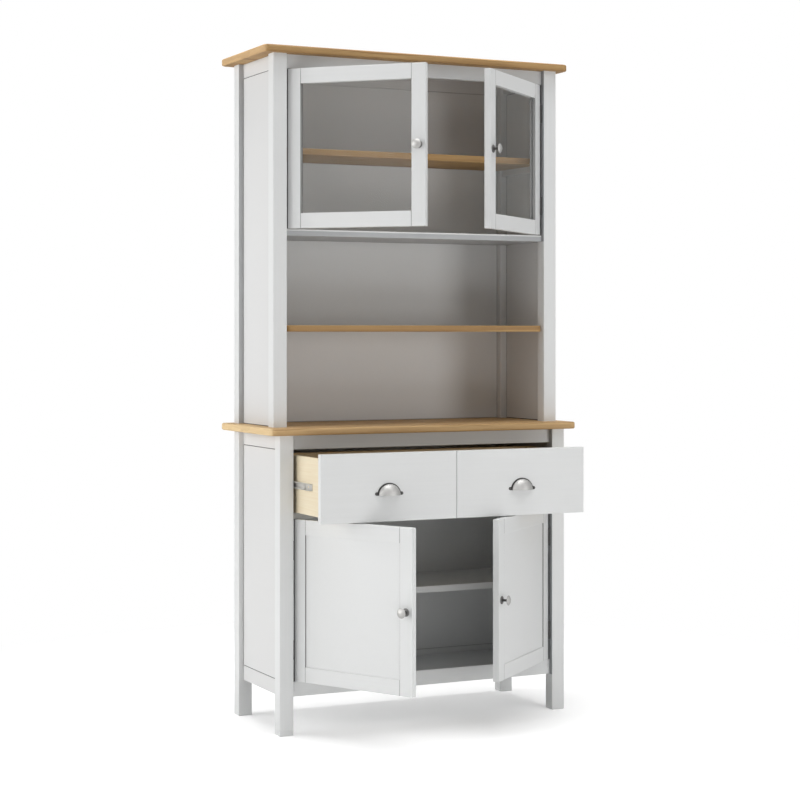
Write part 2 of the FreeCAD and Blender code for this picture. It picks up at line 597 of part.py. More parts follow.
cup_z = (DRAWER_FRONT_Z + DRAWER_FRONT_TOP) / 2 - CUP_DROP - (CUP_HEIGHT + CUP_FLANGE) / 2
ear_radius = CUP_EAR_HEIGHT / 2
for side in (-1, 1):
    handle = cup_handle()
    handle.translate(Vec(side * CUP_CENTRE_OFFSET, BASE_FACE, cup_z))
    add("cup_handles", handle)
    for ear in (-1, 1):
        x = side * CUP_CENTRE_OFFSET + ear * (CUP_EAR_REACH - ear_radius)
        seat = Vec(x, BASE_FACE - CUP_FLANGE_THICKNESS, cup_z + ear_radius)
        shank = cylinder(CUP_SCREW_RADIUS, CUP_SCREW_LENGTH, seat, ALONG_Y)
        head = cylinder(CUP_SCREW_HEAD_RADIUS, CUP_SCREW_HEAD_HEIGHT, seat, -ALONG_Y)
        top_rim = [edge for edge in head.Edges if edge.BoundBox.YMax < seat.y - CUP_SCREW_HEAD_HEIGHT + 0.01]
        head = head.makeFillet(CUP_SCREW_HEAD_HEIGHT * 0.6, top_rim)
        add("handle_screws", head.fuse(shank))
        pilot = cylinder(CUP_SCREW_RADIUS + SCREW_CLEARANCE, CUP_SCREW_LENGTH + HOLE_END_GAP, seat, ALONG_Y)
        cut_all("drawer_front", pilot)


# ---- Telescopic runners ------------------------------------------------------------------------------

def channel(x_web, x_tip, half_height, wall, y_span):
    """A C-shaped channel with its web at x_web and the tips of its flanges at x_tip."""
    inward = 1 if x_tip > x_web else -1
    outer = box((x_web, x_tip), y_span, (RUNNER_Z - half_height, RUNNER_Z + half_height))
    hollow = box((x_web + inward * wall, x_tip + inward * PAST), (y_span[0] - PAST, y_span[1] + PAST),
                 (RUNNER_Z - half_height + wall, RUNNER_Z + half_height - wall))
    return outer.cut(hollow)


runner_y = FRONT + RUNNER_START
runner_end = BACK_IN - RUNNER_BACK_GAP
drawer_member_y = (FRONT + RUNNER_DRAWER_START, runner_end)
outer_half = RUNNER_HEIGHT / 2
middle_half = outer_half - RUNNER_WALL - RUNNER_CLEARANCE
inner_half = middle_half - RUNNER_WALL - RUNNER_CLEARANCE
flange_tip = POST_IN - RUNNER_WALL - RUNNER_CLEARANCE
middle_web = DRAWER_OUT + RUNNER_WALL + RUNNER_CLEARANCE
inner_tip = middle_web + RUNNER_WALL + RUNNER_CLEARANCE

drawer_member = channel(DRAWER_OUT, flange_tip, outer_half, RUNNER_WALL, drawer_member_y)
slot_y = drawer_member_y[0] + RUNNER_SLOT_START
slot = box((DRAWER_OUT - PAST, DRAWER_OUT + RUNNER_WALL + PAST), (slot_y, slot_y + RUNNER_SLOT_LENGTH),
           (RUNNER_Z - RUNNER_SLOT_WIDTH / 2, RUNNER_Z + RUNNER_SLOT_WIDTH / 2))
add("runner_drawer_members", *both_sides([drawer_member.cut(slot)]))
middle_member_y = (runner_y, runner_end - RUNNER_END_GAP)
middle_member = channel(middle_web, flange_tip, middle_half, RUNNER_WALL, middle_member_y)
add("runner_middle_members", *both_sides([middle_member]))
cabinet_member = channel(POST_IN, inner_tip, inner_half, RUNNER_WALL, (runner_y, runner_end))
add("runner_cabinet_members", *both_sides([cabinet_member]))
batten = board((POST_IN, SIDE_IN), LEG_Y_INNER,
               (RUNNER_Z - RUNNER_BATTEN_HEIGHT / 2, RUNNER_Z + RUNNER_BATTEN_HEIGHT / 2))
add("runner_battens", *both_sides([batten]))

drawer_nodes = ("drawer_front", "drawer_sides", "drawer_back", "drawer_bottom", "cup_handles",
                "handle_screws", "runner_drawer_members")
for name in drawer_nodes:
    for solid in nodes[name]:
        solid.translate(Vec(0, -DRAWER_OPEN, 0))
for solid in nodes["runner_middle_members"]:
    solid.translate(Vec(0, -DRAWER_OPEN / 2, 0))


# ---- Door frames, built closed with the hinge pin at x = 0, y = 0 and the door's lower end at z = 0 --

FACE = BARREL_SETOUT                           # the door's outer face behind the pin axis
DOOR_FAR_EDGE = DOOR_EDGE + DOOR_WIDTH


def door_frame(height):
    """Two stiles, and two rails with tenons that enter them."""
    y = (FACE, FACE + DOOR_THICKNESS)
    stiles = [board((DOOR_EDGE, DOOR_EDGE + STILE_WIDTH), y, (0, height)),
              board((DOOR_FAR_EDGE - STILE_WIDTH, DOOR_FAR_EDGE), y, (0, height))]
    rail_x = (DOOR_EDGE + STILE_WIDTH, DOOR_FAR_EDGE - STILE_WIDTH)
    tenon_y = (FACE + TENON_INSET, FACE + TENON_INSET + TENON_THICKNESS)
    rails = []
    for z_low, outer_end in ((0, 0), (height - DOOR_RAIL_WIDTH, height)):
        inner_end = DOOR_RAIL_WIDTH - REBATE_WIDTH - TENON_SHOULDER
        tenon_low = z_low + TENON_SHOULDER if outer_end == 0 else height - inner_end
        tenon_high = z_low + inner_end if outer_end == 0 else height - TENON_SHOULDER
        rail = board(rail_x, y, (z_low, z_low + DOOR_RAIL_WIDTH))
        reach = (rail_x[0] - TENON_LENGTH, rail_x[1] + TENON_LENGTH)
        rails.append(rail.fuse(box(reach, tenon_y, (tenon_low, tenon_high))))
        play = TENON_CLEARANCE
        mortise = box((reach[0] - HOLE_END_GAP, reach[1] + HOLE_END_GAP),
                      (tenon_y[0] - play, tenon_y[1] + play), (tenon_low - play, tenon_high + play))
        stiles = [stile.cut(mortise) for stile in stiles]
    return stiles + rails


def opening(height, margin):
    """Width and height ranges of the frame's opening, enlarged by a margin."""
    return ((DOOR_EDGE + STILE_WIDTH - margin, DOOR_FAR_EDGE - STILE_WIDTH + margin),
            (DOOR_RAIL_WIDTH - margin, height - DOOR_RAIL_WIDTH + margin))


def panelled_door(height):
    """A frame grooved for its recessed panel, and the panel."""
    x, z = opening(height, PANEL_TONGUE)
    y = (FACE + PANEL_RECESS, FACE + PANEL_RECESS + DOOR_PANEL_THICKNESS)
    wide_x, wide_z = opening(height, PANEL_TONGUE + PANEL_FIT)
    groove = box(wide_x, y, wide_z)
    return [member.cut(groove) for member in door_frame(height)], [box(x, y, z)]


def glazed_door(height):
    """A frame rebated from behind for its pane, the pane, and the beads that hold it."""
    x, z = opening(height, REBATE_WIDTH)
    rebate = box(x, (FACE + GLASS_RECESS, FACE + DOOR_THICKNESS + PAST), z)
    frame = [member.cut(rebate) for member in door_frame(height)]
    glass_x, glass_z = opening(height, REBATE_WIDTH - GLASS_CLEARANCE)
    bead_y = (FACE + GLASS_RECESS + GLASS_THICKNESS, FACE + DOOR_THICKNESS)
    pane = box(glass_x, (FACE + GLASS_RECESS, bead_y[0]), glass_z)
    inner_x, inner_z = opening(height, 0)
    beads = [board((x[0], inner_x[0]), bead_y, z), board((inner_x[1], x[1]), bead_y, z),
             board(inner_x, bead_y, (z[0], inner_z[0])), board(inner_x, bead_y, (inner_z[1], z[1]))]
    return frame, [pane], beads


# ---- Knob and its bolt -------------------------------------------------------------------------------

def round_corner(start, end, centre):
    """A stretch of outline that runs to an end point as an arc about a centre."""
    radius = (start - centre).Length
    halfway = (start + end) * 0.5 - centre
    return (centre + halfway.normalize() * radius, end)


def knob():
    """A domed knob on a slim neck and a round rose. The door's face is at y = 0 and the knob points to -y."""
    cap_back = KNOB_PROJECTION - KNOB_CAP_HEIGHT
    cap_front = cap_back + KNOB_CAP_RIM
    dome_rise = KNOB_PROJECTION - cap_front
    dome_radius = (KNOB_CAP_RADIUS ** 2 + dome_rise ** 2) / (2 * dome_rise)
    rose_rim = Vec(KNOB_ROSE_RADIUS, -KNOB_ROSE_THICKNESS + KNOB_ROSE_RIM, 0)
    rose_front = Vec(KNOB_ROSE_RADIUS - KNOB_ROSE_RIM, -KNOB_ROSE_THICKNESS, 0)
    neck_foot = Vec(KNOB_NECK_RADIUS + KNOB_NECK_FLARE, -KNOB_ROSE_THICKNESS, 0)
    neck_low = Vec(KNOB_NECK_RADIUS, -KNOB_ROSE_THICKNESS - KNOB_NECK_FLARE, 0)
    neck_high = Vec(KNOB_NECK_RADIUS, -cap_back + KNOB_CAP_FLARE, 0)
    cap_root = Vec(KNOB_NECK_RADIUS + KNOB_CAP_FLARE, -cap_back, 0)
    cap_under = Vec(KNOB_CAP_RADIUS - KNOB_CAP_RIM, -cap_back, 0)
    cap_edge = Vec(KNOB_CAP_RADIUS, -cap_front, 0)
    points = [ORIGIN, Vec(KNOB_ROSE_RADIUS, 0, 0), rose_rim,
              round_corner(rose_rim, rose_front, Vec(rose_front.x, rose_rim.y, 0)),
              neck_foot,
              round_corner(neck_foot, neck_low, Vec(neck_foot.x, neck_low.y, 0)),
              neck_high,
              round_corner(neck_high, cap_root, Vec(cap_root.x, neck_high.y, 0)),
              cap_under,
              round_corner(cap_under, cap_edge, Vec(cap_under.x, cap_edge.y, 0)),
              round_corner(cap_edge, Vec(0, -KNOB_PROJECTION, 0), Vec(0, dome_radius - KNOB_PROJECTION, 0))]
    return turned_profile(points, ORIGIN, ALONG_Y)


def knob_bolt(thickness):
    """A bolt through the stile from behind, its head on the door's back face at y = thickness."""
    shank = cylinder(KNOB_BOLT_RADIUS, thickness + KNOB_BOLT_REACH, Vec(0, thickness, 0), -ALONG_Y)
    head = cylinder(KNOB_BOLT_HEAD_RADIUS, KNOB_BOLT_HEAD_HEIGHT, Vec(0, thickness, 0), ALONG_Y)
    return shank.fuse(head)


# ---- Butt hinge, with its pin along z at x = 0, y = 0 and its lower end at z = 0 ---------------------

def knuckle_spans(first):
    """Height ranges of every second knuckle, starting with the one given."""
    length = (HINGE_HEIGHT - KNUCKLE_GAP * (KNUCKLES - 1)) / KNUCKLES
    spans = []
    for number in range(first, KNUCKLES, 2):
        low = number * (length + KNUCKLE_GAP)
        spans.append((low, low + length))
    return spans


def hinge_leaf(x_outer, leaf_end, first):
    """A leaf between x_outer and x_outer plus its thickness, rolled round the pin at its knuckles."""
    x = (x_outer, x_outer + LEAF_THICKNESS)
    root = BARREL_RADIUS + KNUCKLE_GAP
    leaf = box(x, (root, leaf_end), (0, HINGE_HEIGHT))
    for span in knuckle_spans(first):
        leaf = leaf.fuse(box(x, (0, root), span))
        leaf = leaf.fuse(cylinder(BARREL_RADIUS, span[1] - span[0], Vec(0, 0, span[0]), UP))
    leaf = leaf.cut(cylinder(PIN_RADIUS + PIN_FIT, HINGE_HEIGHT + 2 * PAST, Vec(0, 0, -PAST), UP))
    return leaf.removeSplitter()


def leaf_screws(x_face, y, into):
    """Two countersunk screws through a leaf whose open face is at x_face, driven along into."""
    depth = LEAF_SCREW_HEAD_RADIUS - LEAF_SCREW_RADIUS
    screws = []
    holes = []
    for sign in (-1, 1):
        seat = Vec(x_face, y, HINGE_HEIGHT / 2 + sign * LEAF_SCREW_SPACING / 2)
        head = Part.makeCone(LEAF_SCREW_HEAD_RADIUS, LEAF_SCREW_RADIUS, depth, seat, into)
        shank = cylinder(LEAF_SCREW_RADIUS, LEAF_SCREW_LENGTH, seat, into)
        screws.append(head.fuse(shank))
        wider = SCREW_CLEARANCE
        sink = Part.makeCone(LEAF_SCREW_HEAD_RADIUS + wider, LEAF_SCREW_RADIUS + wider, depth, seat, into)
        bore = cylinder(LEAF_SCREW_RADIUS + wider, LEAF_SCREW_LENGTH + HOLE_END_GAP, seat, into)
        holes.append(sink.fuse(bore))
    return screws, holes


POST_FACE = -(BARREL_RADIUS + BARREL_CLEARANCE)          # the post's inner face, measured from the pin
POST_LEAF_END = POST_DEPTH - FACE_RECESS + BARREL_SETOUT - LEAF_INSET
DOOR_LEAF_END = FACE + DOOR_THICKNESS - LEAF_INSET


def post_leaf():
    """The leaf on the post, with its screws and their holes."""
    leaf = hinge_leaf(POST_FACE, POST_LEAF_END, 0)
    screws, holes = leaf_screws(POST_FACE + LEAF_THICKNESS, (POST_LEAF_END + FACE) / 2, -ALONG_X)
    for hole in holes:
        leaf = leaf.cut(hole)
    return leaf, screws, holes


def door_leaf():
    """The leaf on the door's edge, with its screws and their holes."""
    leaf = hinge_leaf(DOOR_EDGE - LEAF_THICKNESS, DOOR_LEAF_END, 1)
    screws, holes = leaf_screws(DOOR_EDGE - LEAF_THICKNESS, (DOOR_LEAF_END + FACE) / 2, ALONG_X)
    for hole in holes:
        leaf = leaf.cut(hole)
    return leaf, screws, holes


def hinge_pin():
    shaft = cylinder(PIN_RADIUS, HINGE_HEIGHT, ORIGIN, UP)
    heads = [cylinder(PIN_HEAD_RADIUS, PIN_HEAD_HEIGHT, Vec(0, 0, HINGE_HEIGHT), UP),
             cylinder(PIN_HEAD_RADIUS, PIN_HEAD_HEIGHT, ORIGIN, -UP)]
    return shaft.fuse(heads[0]).fuse(heads[1])


# ---- The four doors and what carries them ------------------------------------------------------------

def placed(shape, side, angle, pin):
    """A door's piece, taken from its own frame to its place: turned open about the pin, on its side."""
    piece = shape.copy()
    piece.rotate(ORIGIN, UP, -angle)
    piece.translate(Vec(-pin.x, pin.y, pin.z))
    return piece if side < 0 else mirrored(piece)


def moved(shapes, offset):
    copies = [shape.copy() for shape in shapes]
    for copy in copies:
        copy.translate(offset)
    return copies


doors = (("upper_left_door", -1, UPPER_LEFT_OPEN, HUTCH_FACE, UPPER_DOOR_Z, UPPER_DOOR_HEIGHT, True),
         ("upper_right_door", 1, UPPER_RIGHT_OPEN, HUTCH_FACE, UPPER_DOOR_Z, UPPER_DOOR_HEIGHT, True),
         ("lower_left_door", -1, LOWER_LEFT_OPEN, BASE_FACE, LOWER_DOOR_Z, LOWER_DOOR_HEIGHT, False),
         ("lower_right_door", 1, LOWER_RIGHT_OPEN, BASE_FACE, LOWER_DOOR_Z, LOWER_DOOR_HEIGHT, False))

for name, side, angle, face_y, low_z, height, glazed in doors:
    pin = Vec(PIN_X, face_y - BARREL_SETOUT, low_z)
    if glazed:
        frame, infill, beads = glazed_door(height)
    else:
        frame, infill = panelled_door(height)
        beads = []
    hardware = []
    post_name = ("hutch_post_front_" if glazed else "base_leg_front_") + ("left" if side < 0 else "right")

    # Two hinges, one near each end of the door
    for hinge_z in (HINGE_END_DISTANCE, height - HINGE_END_DISTANCE - HINGE_HEIGHT):
        lift = Vec(0, 0, hinge_z)
        leaf, screws, holes = door_leaf()
        hardware += moved([leaf] + screws, lift)
        for hole in moved(holes, lift):
            frame = [member.cut(hole) for member in frame]
        leaf, screws, holes = post_leaf()
        add("hinge_post_leaves", *[placed(solid, side, 0, pin) for solid in moved([leaf] + screws, lift)])
        add("hinge_pins", *[placed(solid, side, 0, pin) for solid in moved([hinge_pin()], lift)])
        for hole in moved(holes, lift):
            cut_all(post_name, placed(hole, side, 0, pin))

    # Knob in the middle of the free stile, with its bolt
    knob_x = DOOR_FAR_EDGE - STILE_WIDTH / 2
    knob_spot = Vec(knob_x, FACE, height / 2)
    door_knob = moved([knob()], knob_spot)[0]
    bolt_well = cylinder(KNOB_BOLT_RADIUS + SCREW_CLEARANCE, DOOR_THICKNESS + KNOB_BOLT_REACH + HOLE_END_GAP,
                         knob_spot + ALONG_Y * DOOR_THICKNESS, -ALONG_Y)
    frame = [member.cut(bolt_well) for member in frame]
    door_knob = door_knob.cut(bolt_well)
    hardware += moved([knob_bolt(DOOR_THICKNESS)], knob_spot)

    # Strike plate where the free stile meets its catch: let into the top edge, or on the back face
    if glazed:
        strike_spot = Vec(PIN_X - CATCH_OFFSET, FACE + RAIL_THICKNESS / 2, height - STRIKE_THICKNESS)
        strike = cylinder(STRIKE_RADIUS, STRIKE_THICKNESS, strike_spot, UP)
        recess = cylinder(STRIKE_RADIUS + SCREW_CLEARANCE, STRIKE_THICKNESS + PAST, strike_spot, UP)
        frame = [member.cut(recess) for member in frame]
    else:
        catch_middle = DIVIDER_BOTTOM - CATCH_HEIGHT / 2
        strike_spot = Vec(PIN_X - CATCH_OFFSET, FACE + DOOR_THICKNESS, catch_middle - low_z)
        strike = cylinder(STRIKE_RADIUS, STRIKE_THICKNESS, strike_spot, ALONG_Y)
    hardware.append(strike)

    for suffix, solids in (("frame", frame), ("glass" if glazed else "panel", infill), ("beads", beads),
                           ("knob", [door_knob]), ("fittings", hardware)):
        if solids:
            add(name + "_" + suffix, *[placed(solid, side, angle, pin) for solid in solids])

# Magnetic catches under the divider, behind the lower doors
catch_y = BASE_FACE + DOOR_THICKNESS + STRIKE_THICKNESS + CATCH_GAP
catch = board((CATCH_OFFSET - CATCH_WIDTH / 2, CATCH_OFFSET + CATCH_WIDTH / 2),
              (catch_y, catch_y + CATCH_DEPTH), (DIVIDER_BOTTOM - CATCH_HEIGHT, DIVIDER_BOTTOM))
add("door_catches", *both_sides([catch]))

# Sprung ball catches, let into the underside of the rail over the upper doors
for side in (-1, 1):
    mouth = Vec(side * CATCH_OFFSET, HUTCH_FACE + RAIL_THICKNESS / 2, HUTCH_RAIL_Z)
    ball_centre = mouth + UP * (BALL_RADIUS + BALL_CLEARANCE - DOOR_END_GAP)
    housing = cylinder(BALL_CATCH_RADIUS, BALL_CATCH_LENGTH, mouth, UP)
    add("door_catches", housing.fuse(Part.makeSphere(BALL_RADIUS, ball_centre)))
    bore = cylinder(BALL_CATCH_RADIUS + SCREW_CLEARANCE, BALL_CATCH_LENGTH + HOLE_END_GAP, mouth, UP)
    cut_all("hutch_front_rail", bore)


# ---- Wall brackets -----------------------------------------------------------------------------------

wall_y = BACK + BACK_OVERHANG
for side in (-1, 1):
    x = side * BRACKET_SPACING / 2
    width = (x - BRACKET_WIDTH / 2, x + BRACKET_WIDTH / 2)
    shelf_leaf = box(width, (BACK, wall_y), (HUTCH_TOP - BRACKET_THICKNESS, HUTCH_TOP))
    wall_leaf = box(width, (wall_y - BRACKET_THICKNESS, wall_y), (HUTCH_TOP - BRACKET_DROP, HUTCH_TOP))
    bracket = shelf_leaf.fuse(wall_leaf).removeSplitter()
    wall_hole = cylinder(BRACKET_HOLE_RADIUS, BRACKET_THICKNESS + 2 * PAST,
                         Vec(x, wall_y - BRACKET_THICKNESS - PAST, HUTCH_TOP - BRACKET_HOLE_DROP), ALONG_Y)
    seat = Vec(x, (BACK + wall_y) / 2, HUTCH_TOP - BRACKET_THICKNESS)
    bore_radius = BRACKET_SCREW_RADIUS + SCREW_CLEARANCE
    screw_bore = cylinder(bore_radius, BRACKET_SCREW_LENGTH + HOLE_END_GAP, seat, UP)
    head = cylinder(BRACKET_SCREW_HEAD_RADIUS, BRACKET_SCREW_HEAD_HEIGHT, seat, -UP)
    add("wall_brackets", bracket.cut(wall_hole).cut(screw_bore),
        head.fuse(cylinder(BRACKET_SCREW_RADIUS, BRACKET_SCREW_LENGTH, seat, UP)))
    cut_all("top_board", screw_bore)


# ---- Write one file for each node --------------------------------------------------------------------

os.makedirs("parts", exist_ok=True)
for name, solids in nodes.items():
    pieces = [piece for solid in solids for piece in solid.Solids]
    shape = pieces[0] if len(pieces) == 1 else Part.makeCompound(pieces)
    shape.exportStep("parts/" + name + ".step")
    corner = shape.BoundBox
    print(name, len(pieces), "solids", "valid" if shape.isValid() else "INVALID",
          "x %.1f %.1f" % (corner.XMin, corner.XMax), "y %.1f %.1f" % (corner.YMin, corner.YMax),
          "z %.1f %.1f" % (corner.ZMin, corner.ZMax))
print(len(nodes), "nodes")
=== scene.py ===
import bpy
import json
import math
from mathutils import Matrix, Vector


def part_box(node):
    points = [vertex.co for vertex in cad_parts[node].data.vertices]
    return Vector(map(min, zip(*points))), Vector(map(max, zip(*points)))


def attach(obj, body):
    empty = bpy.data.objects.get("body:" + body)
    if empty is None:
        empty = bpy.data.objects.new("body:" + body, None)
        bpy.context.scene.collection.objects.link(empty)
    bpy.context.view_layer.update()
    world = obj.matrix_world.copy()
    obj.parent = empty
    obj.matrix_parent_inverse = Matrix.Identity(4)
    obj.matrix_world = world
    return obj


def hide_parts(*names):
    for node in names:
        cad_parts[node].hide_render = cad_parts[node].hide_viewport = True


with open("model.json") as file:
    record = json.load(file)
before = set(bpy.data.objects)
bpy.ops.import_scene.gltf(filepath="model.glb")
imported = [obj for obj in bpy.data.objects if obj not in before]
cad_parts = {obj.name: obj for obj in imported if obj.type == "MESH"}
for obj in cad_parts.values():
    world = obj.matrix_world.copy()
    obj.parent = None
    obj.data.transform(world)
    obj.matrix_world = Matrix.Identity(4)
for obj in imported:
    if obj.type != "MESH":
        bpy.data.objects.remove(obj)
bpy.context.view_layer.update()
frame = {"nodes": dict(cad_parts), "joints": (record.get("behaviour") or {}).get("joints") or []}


# ---- Legs and hutch posts ----------------------------------------------------------------------------
# Eight square posts of solid softwood, grain upright, with rounded arrises. They are primed and sprayed
# with a pale grey satin lacquer, under which the grain still shows as very fine upright lines.

PAINT = (226, 227, 227)
PAINT_DEEP = (218, 219, 218)
SHADE_GREY = (152, 154, 157)      # grey painted shade
JOINT = (92, 90, 88)          # the shadow in an open joint
UPRIGHT_GRAIN = (160.0, 160.0, 4.0)      # drawn out along the axis with the small number
EVEN = (1.0, 1.0, 1.0)        # drawn out along no axis
CLOUDS = 3.5                  # scale of the slow changes of tone
PEEL = 420.0                  # scale of the spray's fine skin
LACQUER_RELIEF = 0.00012
REVEAL_SLACK = 0.0004         # how far the painted shade's mask reaches past a front post's inner face, inside a side panel's outer face, and to either side of a back post's front face
PANEL_SLACK = 0.0005          # inside a side panel's outer face,
POST_SLACK = 0.0012           # and to either side of a back post's front face
BACK_POST_SHADE = 0.55         # how dark the painted shade is on the back posts, from 0 to 1


def shade(red, green, blue):
    """A colour on the usual scale of 0 to 255, as the linear colour that a shader takes."""
    parts = [value / 255 for value in (red, green, blue)]
    return tuple(p / 12.92 if p <= 0.04045 else ((p + 0.055) / 1.055) ** 2.4 for p in parts) + (1.0,)


class Wire:
    """A socket in a node tree. Sums, differences and products of wires add their own Math nodes."""

    def __init__(self, tree, socket):
        self.tree = tree
        self.socket = socket

    def node(self, kind, settings, sockets, out=0):
        """Adds a node of a kind, with its settings and then the values or wires of its sockets.

        A list holds the wires that share one socket.
        """
        made = self.tree.nodes.new(kind)
        for key, value in settings.items():
            if key == "stops":
                ramp = made.color_ramp
                while len(ramp.elements) < len(value):
                    ramp.elements.new(0.5)
                for element, (position, colour) in zip(ramp.elements, value):
                    element.position = position
                    element.color = colour
            else:
                setattr(made, key, value)
        for key, value in sockets.items():
            for part in value if isinstance(value, list) else [value]:
                if isinstance(part, Wire):
                    self.tree.links.new(part.socket, made.inputs[key])
                else:
                    made.inputs[key].default_value = part
        return Wire(self.tree, made.outputs[out]) if made.outputs else None

    def beside(self, name):
        """Another output of the node that this wire comes from."""
        return Wire(self.tree, self.socket.node.outputs[name])

    def maths(self, operation, *values):
        """A Math node that takes this wire first."""
        return self.node("ShaderNodeMath", {"operation": operation}, dict(enumerate((self,) + values)))

    def __add__(self, other):
        return self.maths("ADD", other)

    def __sub__(self, other):
        return self.maths("SUBTRACT", other)

    def __rsub__(self, other):
        return self.node("ShaderNodeMath", {"operation": "SUBTRACT"}, {0: other, 1: self})

    def __mul__(self, other):
        return self.maths("MULTIPLY", other)

    __radd__ = __add__
    __rmul__ = __mul__


def first_wire(tree, kind, out):
    """Empties a tree and adds its first node."""
    tree.nodes.clear()
    return Wire(tree, tree.nodes.new(kind).outputs[out])


def new_finish(name):
    """An empty material, and the wire of a point's place on the object."""
    material = bpy.data.materials.new(name)
    material.use_nodes = True
    return material, first_wire(material.node_tree, "ShaderNodeTexCoord", "Object")


def axes(place):
    """The x, y and z of a place, each on a wire of its own."""
    x = place.node("ShaderNodeSeparateXYZ", {}, {"Vector": place})
    return x, x.beside("Y"), x.beside("Z")


def near(wire, middle, reach):
    """1 where a wire's value lies within a reach of a middle, and 0 elsewhere."""
    return wire.maths("COMPARE", middle, reach)


def between(wire, low, high):
    """1 where a wire's value lies between two others, and 0 elsewhere."""
    return near(wire, (low + high) / 2, (high - low) / 2)


def stretched(place, scale, noise=1.0, detail=2.0, location=(0.0, 0.0, 0.0)):
    """Noise from 0 to 1 whose grain is drawn out by a scale for each axis."""
    drawn = place.node("ShaderNodeMapping", {}, {"Vector": place, "Scale": scale, "Location": location})
    return place.node("ShaderNodeTexNoise", {}, {"Vector": drawn, "Scale": noise, "Detail": detail})


def blended(mask, first, second):
    """One colour passing into another where the mask rises."""
    return mask.node("ShaderNodeMix", {"data_type": "RGBA"}, {0: mask, 6: first, 7: second}, out=2)


def finished(place, colour, roughness, height, relief, **more):
    """Ends a material in a Principled shader with a bump of that relief, in metres."""
    bump = place.node("ShaderNodeBump", {}, {"Height": height, "Strength": 1.0, "Distance": relief})
    sockets = {"Base Color": colour, "Roughness": roughness, "Normal": bump}
    sockets.update(more)
    surface = place.node("ShaderNodeBsdfPrincipled", {}, sockets)
    place.node("ShaderNodeOutputMaterial", {}, {"Surface": surface})


def lacquered(name, grain=None, shade_mask_at=None, place_on=None, light=PAINT, deep=PAINT_DEEP):
    """Satin lacquer on wood with this grain.

    shade_mask_at makes the mask of the parts with painted shade in grey. place_on gives the place, the
    grain and the mask of the painted shade in the joints on a piece that doesn't stand square.
    """
    material, place = new_finish(name)
    thin = shade_mask_at(place) if shade_mask_at else None
    seam_shade = None
    if place_on:
        place, streaks, seam_shade = place_on(place)
    else:
        streaks = stretched(place, grain, detail=4.0)
    cloud = stretched(place, EVEN, CLOUDS)
    peel = stretched(place, EVEN, PEEL, 1.0)
    colour = blended(streaks * 0.55 + cloud * 0.45, shade(*deep), shade(*light))
    # Painted shade: grey where the mask thin rises, and the dark of an open joint in the joints.
    if thin:
        colour = blended(thin, colour, shade(*SHADE_GREY))
    if seam_shade:
        colour = blended(seam_shade, colour, shade(*JOINT))
    finished(place, colour, 0.36 + 0.14 * streaks, streaks * 0.7 + peel * 0.3, LACQUER_RELIEF)
    return material


def coat(material, *names):
    """Gives CAD nodes a finish."""
    for name in names:
        node = frame["nodes"][name]
        node.data.materials.clear()
        node.data.materials.append(material)


def shade_beside_doors(place):
    """Painted shade on the front posts' inner faces, at the height of the doors, the drawer and the front
    rails.
    """
    x, y, z = axes(place)
    rails_low, rails_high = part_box("base_front_rails")
    inner = x.maths("ABSOLUTE").maths("LESS_THAN", rails_high.x + REVEAL_SLACK)
    base = between(z, rails_low.z, rails_high.z)
    hutch = between(z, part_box("cabinet_floor")[0].z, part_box("hutch_front_rail")[1].z)
    return inner * y.maths("LESS_THAN", 0.0) * (base + hutch)


def shade_beside_panels(place):
    """Painted shade on the front faces of the hutch's back posts, where they stand proud of the side panels.
    """
    x, y, z = axes(place)
    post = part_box("hutch_post_back_right")[0]
    outside = x.maths("ABSOLUTE").maths("GREATER_THAN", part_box("hutch_side_panels")[1].x - PANEL_SLACK)
    above = z.maths("GREATER_THAN", post.z)
    return outside * near(y, post.y, POST_SLACK) * above * BACK_POST_SHADE


def shaded_post_reveals(place):
    """Every part of the posts where shade is painted."""
    return shade_beside_doors(place) + shade_beside_panels(place)


# Shade is painted in grey on the front posts' inner faces beside the doors, the drawer and the front rails,
# and on the back posts' front faces beside the hutch's side panels.
upright_paint = lacquered("lacquer_upright_grain", UPRIGHT_GRAIN, shaded_post_reveals)
for corner in ("front_left", "front_right", "back_left", "back_right"):
    coat(upright_paint, "base_leg_" + corner, "hutch_post_" + corner)


# ---- Rails -------------------------------------------------------------------------------------------
# Sawn softwood rails dowelled between the posts, at the top and the bottom of the base and at the top
# of the hutch. The grain runs along each rail, so side and cross rails carry the same lacquer turned,
# except that the side rails have a darker copy of it as painted shade.

# The side rails and panels, the cleats and the battens have a darker copy of the paint: painted shade.
SHADED_SIDE_PAINT = (220, 220, 220)
SHADED_SIDE_PAINT_DEEP = (212, 212, 211)
CROSS_GRAIN = (4.0, 160.0, 160.0)
SIDE_GRAIN = (160.0, 4.0, 160.0)
OVERHANG_DROP = 0.02          # from the underside of a top to the middle of the band of painted shade under it
OVERHANG_REACH = 0.022        # half the height of that band
UNDER_WORKTOP_SHADE = 0.42     # how dark the painted shade is there, from 0 to 1
UNDER_TOP_BOARD_SHADE = 0.18


def shade_under_overhangs(place):
    """Painted shade on the rails close under the worktop and the top board."""
    height = axes(place)[2]
    worktop_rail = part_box("worktop")[0].z - OVERHANG_DROP
    top_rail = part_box("top_board")[0].z - OVERHANG_DROP
    return (near(height, worktop_rail, OVERHANG_REACH) * UNDER_WORKTOP_SHADE
            + near(height, top_rail, OVERHANG_REACH) * UNDER_TOP_BOARD_SHADE)


cross_paint = lacquered("lacquer_cross_grain", CROSS_GRAIN)
